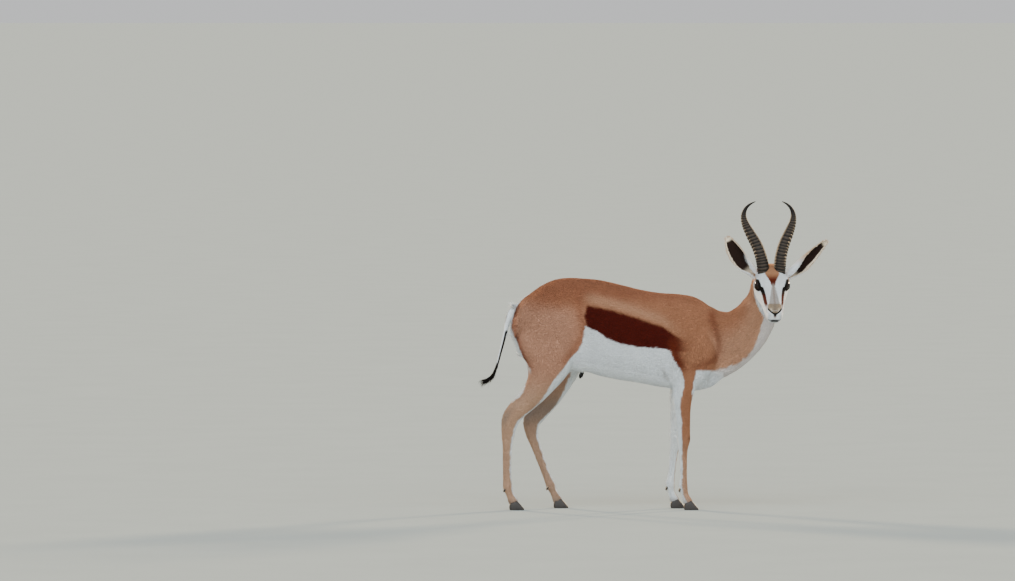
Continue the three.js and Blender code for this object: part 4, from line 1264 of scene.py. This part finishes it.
# An unwrap of the skin: each form has a cell, across it goes the angle round the form and up it the
# share of its length. Cell rows: left, bottom, width, height.
cells = {"torso": (0.01, 0.51, 0.48, 0.48), "neck": (0.51, 0.76, 0.48, 0.23)}
cells |= {"head": (0.51, 0.51, 0.48, 0.23), "tail": (0.51, 0.11, 0.08, 0.38)}
cells["sheath"] = (0.51, 0.01, 0.08, 0.08)
cells |= {name: (0.01 + 0.12 * k, 0.01, 0.11, 0.48) for k, name in enumerate(legs)}
cells |= {"ear_right": (0.6, 0.01, 0.19, 0.48), "ear_left": (0.8, 0.01, 0.19, 0.48)}


def unwrapAt(places, owner):
    spots = np.zeros((len(owner), 2))
    for k, name in enumerate([*paths, *ears]):
        mine = owner == k
        here = places[name]
        if name in ears:
            u = 0.25 + 0.24 * np.clip(here["sweep"], -1, 1) + 0.5 * (here["depth"] > 0.5)
        else:
            u = np.arctan2(here["across"], here["forward"]) / (2 * np.pi) + 0.5
        left, bottom, width, height = cells[name]
        cell = np.stack([left + width * u, bottom + height * here["share"]], -1)
        spots[mine] = cell[mine]
    return spots


furTufts = furMaterial("short_fur_tufts", {"scale": (500, 500, 500), "detail": 2.0}, 0.12, 0.8, 0)


# One piece of coat from tufts, darker at the roots than at the tips. In the unwrap each tuft is a
# spot at its root's place.
def coatPiece(name, tufts, colours, spots):
    points, faces, shares, sideways = tufts
    count, size = points.shape[:2]
    item = meshObject(name, points.reshape(-1, 3), np.empty((0, 4), int), faces)
    tone = (0.82 + 0.26 * shares)[:, None] * colours[:, None]
    setColour(item.data, "coatColour", np.clip(tone, 0, 1).reshape(-1, 3))
    patch = np.stack([sideways, 2 * shares - 1], -1) * 0.0015
    spot = (spots[:, None] + patch[None]).reshape(-1, 2)
    layer = item.data.uv_layers.new(name="OFBake")
    layer.data.foreach_set("uv", spot[faces.ravel()].astype(np.float32).ravel())
    item.data.materials.append(furTufts)
    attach(item, "root")
    return len(faces)


# Over each form: tufts to a square centimetre, then length, lift and half width in millimetres.
coatRows = {
    "torso": (12, 11, 1.7, 1.0),
    "neck": (12, 12, 1.9, 0.95),
    "head": (55, 5.2, 0.8, 0.48),
    "tail": (40, 14, 1.6, 0.8),
    "sheath": (40, 9, 1.6, 0.9),
    "ear_right": (22, 7, 0.6, 0.6),
    "ear_left": (22, 7, 0.6, 0.6),
} | {name: (17, 9, 1.2, 0.75) for name in legs}

mesh.calc_loop_triangles()
corners = np.empty(len(mesh.loop_triangles) * 3, int)
mesh.loop_triangles.foreach_get("vertices", corners)
corners = corners.reshape(-1, 3)
shareTable = np.stack([shares[name] for name in coatRows], -1)
coatTable = np.array(list(coatRows.values()), float)
density = shareTable @ coatTable[:, 0]

# No hair grows on the nose pad, the lids, inside the lips, under the horns or on the hooves.
local = toHead(points)
mirrored = folded(local)
bare = (mirrored[:, 0] > 241.5) & (mirrored[:, 1] < 14) & (mirrored[:, 2] > -24)
bare |= (fromFaceLine(local, nostrilLine) < 3.2) | (fromPath(mirrored, mouthPath) < 1.6)
for side in (-1, 1):
    bare |= inAlmond(local, side)[0] > -3
    away = points - besideHead(hornMiddle, side * 29.5, 0, 0)
    bare |= np.linalg.norm(away - upward * (away @ upward)[:, None], axis=-1) < 16
bare &= shares["head"] > 0.5
for name, leg in legs.items():
    bare |= (shares[name] > 0.5) & (points[:, 2] < hoofLine(leg, points[:, 0]) + 0.5)
for name in ears:
    density = np.where((shares[name] > 0.5) & (places[name]["depth"] > 0.5), density * 0.6, density)
density = np.where(bare, 0, density)
a, b, c = points[corners[:, 0]], points[corners[:, 1]], points[corners[:, 2]]
area = np.linalg.norm(np.cross(b - a, c - a), axis=-1) / 2
wanted = np.cumsum(area * density[corners].mean(1) / 100)
ticks = np.arange(0.5, wanted[-1]) + random.uniform(-0.45, 0.45, int(np.ceil(wanted[-1] - 0.5)))
chosen = np.minimum(np.searchsorted(wanted, ticks), len(corners) - 1)
u, v = random.uniform(size=(2, len(chosen)))
u, v = np.where(u + v > 1, 1 - u, u), np.where(u + v > 1, 1 - v, v)
weights = np.stack([1 - u - v, u, v], -1)[..., None]


def atRoots(values):
    return (values[corners[chosen]] * weights).sum(1)


roots, rootNormals = atRoots(points), unit(atRoots(pointNormals(mesh)))
rootPlaces, rootShares, rootLies = survey(roots)
print("coat surveyed:", len(roots), "tufts")
twist = random.normal(0, tuftForm["twist"], len(roots)) + tuftForm["swirl"] * wander(roots, 55, 8)
twist = twist * (1 - 0.7 * rootShares["tail"])
rootLies = unit(rootLies - rootNormals * dot(rootLies, rootNormals)[:, None])
rootLies = unit(rootLies + np.cross(rootNormals, rootLies) * twist[:, None])
rootShareTable = np.stack([rootShares[name] for name in coatRows], -1)
factors = random.uniform(1 - tuftForm["uneven"], 1 + tuftForm["uneven"], (3, len(roots)))
lengths, lifts, widths = (rootShareTable @ coatTable[:, 1:]).T * factors
middles = roots + rootLies * (0.45 * lengths)[:, None]
rootColours = coatColour(middles, survey(middles)[0], rootShares)

# Hair is longer under the belly, down the brisket and the throat, on the rump's white edge, along the
# rims of the ears and down the tail, where it stands out in front as a fringe and ends as a tuft.
x, y, z = roots.T
onNeck, onTail = rootPlaces["neck"], rootPlaces["tail"]
under = ramp(-0.3, -0.8, rootNormals[:, 2]) * rootShares["torso"] * ramp(-330, -260, x)
throat = rootShares["neck"] * ramp(0.4, 0.85, onNeck["forward"] / onNeck["reach"])
rump = rootShares["torso"] * ramp(-455, -490, x) * ramp(520, 560, z) * ramp(712, 690, z)
down = onTail["share"]
fringe = rootShares["tail"] * ramp(0.36, 0.42, down) * ramp(0.1, 0.5, onTail["forward"])
tuft = rootShares["tail"] * ramp(0.68, 0.85, down)
rims = sum(rootShares[name] * ramp(0.86, 0.94, np.abs(rootPlaces[name]["sweep"])) for name in ears)
longer = [0.7 * under, 0.6 * throat, 0.8 * rump, 0.9 * rootShares["tail"], 0.5 * rims]
longer = np.maximum.reduce(longer) + 0.2 * rootShares["neck"] + 0.8 * tuft
lengths, lifts = lengths * (1 + longer), lifts * (1 + 0.6 * longer)
spike = bell(down - 0.37, 0.025) * rootShares["tail"] * ramp(0.1, 0.7, -onTail["forward"])
raised = 0.18 * fringe + 0.1 * tuft + 0.9 * spike + 0.4 * rump
rootLies = unit(rootLies + raised[:, None] * rootNormals)
isLong = longer > 0.4
dark = 1 - rootColours.mean(-1)
rootColours = rootColours * (1 + random.normal(0, 0.05 + 0.07 * dark))[:, None]
names = [*paths, *ears]
owner = np.stack([rootShares[name] for name in names], -1).argmax(-1)
spots = unwrapAt(rootPlaces, owner)
groups = {}
for k, name in enumerate(names):
    sides = ("right", "left") if name in ("torso", "neck", "head") else ("",)
    for side in sides:
        mine = owner == k
        if side:
            across = toHead(roots)[:, 1] if name == "head" else roots[:, 1]
            mine &= across < 0 if side == "right" else across >= 0
        groups["coat_" + name + ("_" + side if side else "")] = np.flatnonzero(mine)
tuftsToPiece = 32000  # keeps each piece under 200,000 triangles
total = 0
columns = (roots, rootNormals, rootLies, lengths, lifts, widths)
for name, mine in groups.items():
    for ending, profile, kind in (("", shortHair, ~isLong), ("_long", longHair, isLong)):
        those = mine[kind[mine]]
        pieces = len(those) * len(profile) // tuftsToPiece + 1
        for k, some in enumerate(np.array_split(those, pieces)):
            if len(some):
                tufts = tuftArrays(*(column[some] for column in columns), profile)
                label = name + ending + ("" if k == 0 else f"_{k + 1}")
                total += coatPiece(label, tufts, rootColours[some], spots[some])
print("coat made:", total, "triangles")

# The camera stands well off and looks down a little. In metres: its distance from the frame's middle,
# how much it sees across at the animal's body, and the picture's middle in X and Z.
view = {"distance": 28.0, "across": 3.654, "middle": (-0.524, 0.79), "tilt": 2}
camera = link(bpy.data.objects.new("camera", bpy.data.cameras.new("camera")))
rise = view["distance"] * np.tan(np.radians(view["tilt"]))
camera.location = (view["middle"][0], -view["distance"], view["middle"][1] + rise)
camera.rotation_euler = (np.radians(90 - view["tilt"]), 0, 0)
camera.data.sensor_width = 36
camera.data.lens = 36 * (view["distance"] + midline * 0.001) / view["across"]
camera.data.clip_end = 6000
bpy.context.scene.camera = camera

# The studio: soft cool light from the viewer's side and low warm light from behind, all as broad suns
# that light the floor evenly. Where each stands, its strength, its width in degrees and its colour.
suns = {
    "key": ((-1.5, -4.5, 3.3), 2.3, 60, (0.92, 0.97, 1.0)),
    "fill": ((3.5, -3.5, 1.4), 1.1, 60, (0.95, 0.98, 1.0)),
    "rim_left": ((-3.0, 3.6, 1.5), 5.0, 8, (1.0, 0.74, 0.45)),
    "rim_right": ((3.0, 3.6, 1.4), 5.0, 8, (1.0, 0.74, 0.45)),
}
for name, (place, strength, softness, colour) in suns.items():
    lamp = bpy.data.lights.new(name, "SUN")
    lamp.energy, lamp.angle, lamp.color = strength, np.radians(softness), colour
    item = link(bpy.data.objects.new(name, lamp))
    item.rotation_euler = (-Vector(place)).to_track_quat("-Z", "Y").to_euler()
world = bpy.data.worlds.new("studio")
world.use_nodes = True
world.node_tree.nodes["Background"].inputs[0].default_value = (0.86, 0.87, 0.88, 1)
world.node_tree.nodes["Background"].inputs[1].default_value = 0.8
bpy.context.scene.world = world

# A plain pale floor that reaches the horizon: half its side in millimetres, and its colour.
ground = {"reach": 3000000.0, "colour": "#9ea8a9"}
floorCorners = np.array([(-1, -1, 0), (1, -1, 0), (1, 1, 0), (-1, 1, 0)]) * ground["reach"]
floor = meshObject("floor", floorCorners, np.array([(0, 1, 2, 3)]), np.empty((0, 3), int), False)
# Matt painted concrete, without shine, with faint clouds a third of a metre wide.
concrete, place = newMaterial("pale_floor")
speck = addNode(concrete, "TexNoise", {"Vector": place, "Scale": 3.0, "Detail": 6.0})
tone = addNode(concrete, "MapRange", {"Value": speck, "To Min": 0.95, "To Max": 1.05})
colour = addNode(concrete, "Mix", {0: 1.0, 6: unhex(ground["colour"]), 7: tone}, **multiply)
finishMaterial(concrete, {"Base Color": colour, "Roughness": 1.0, "Specular IOR Level": 0.0})
floor.data.materials.append(concrete)
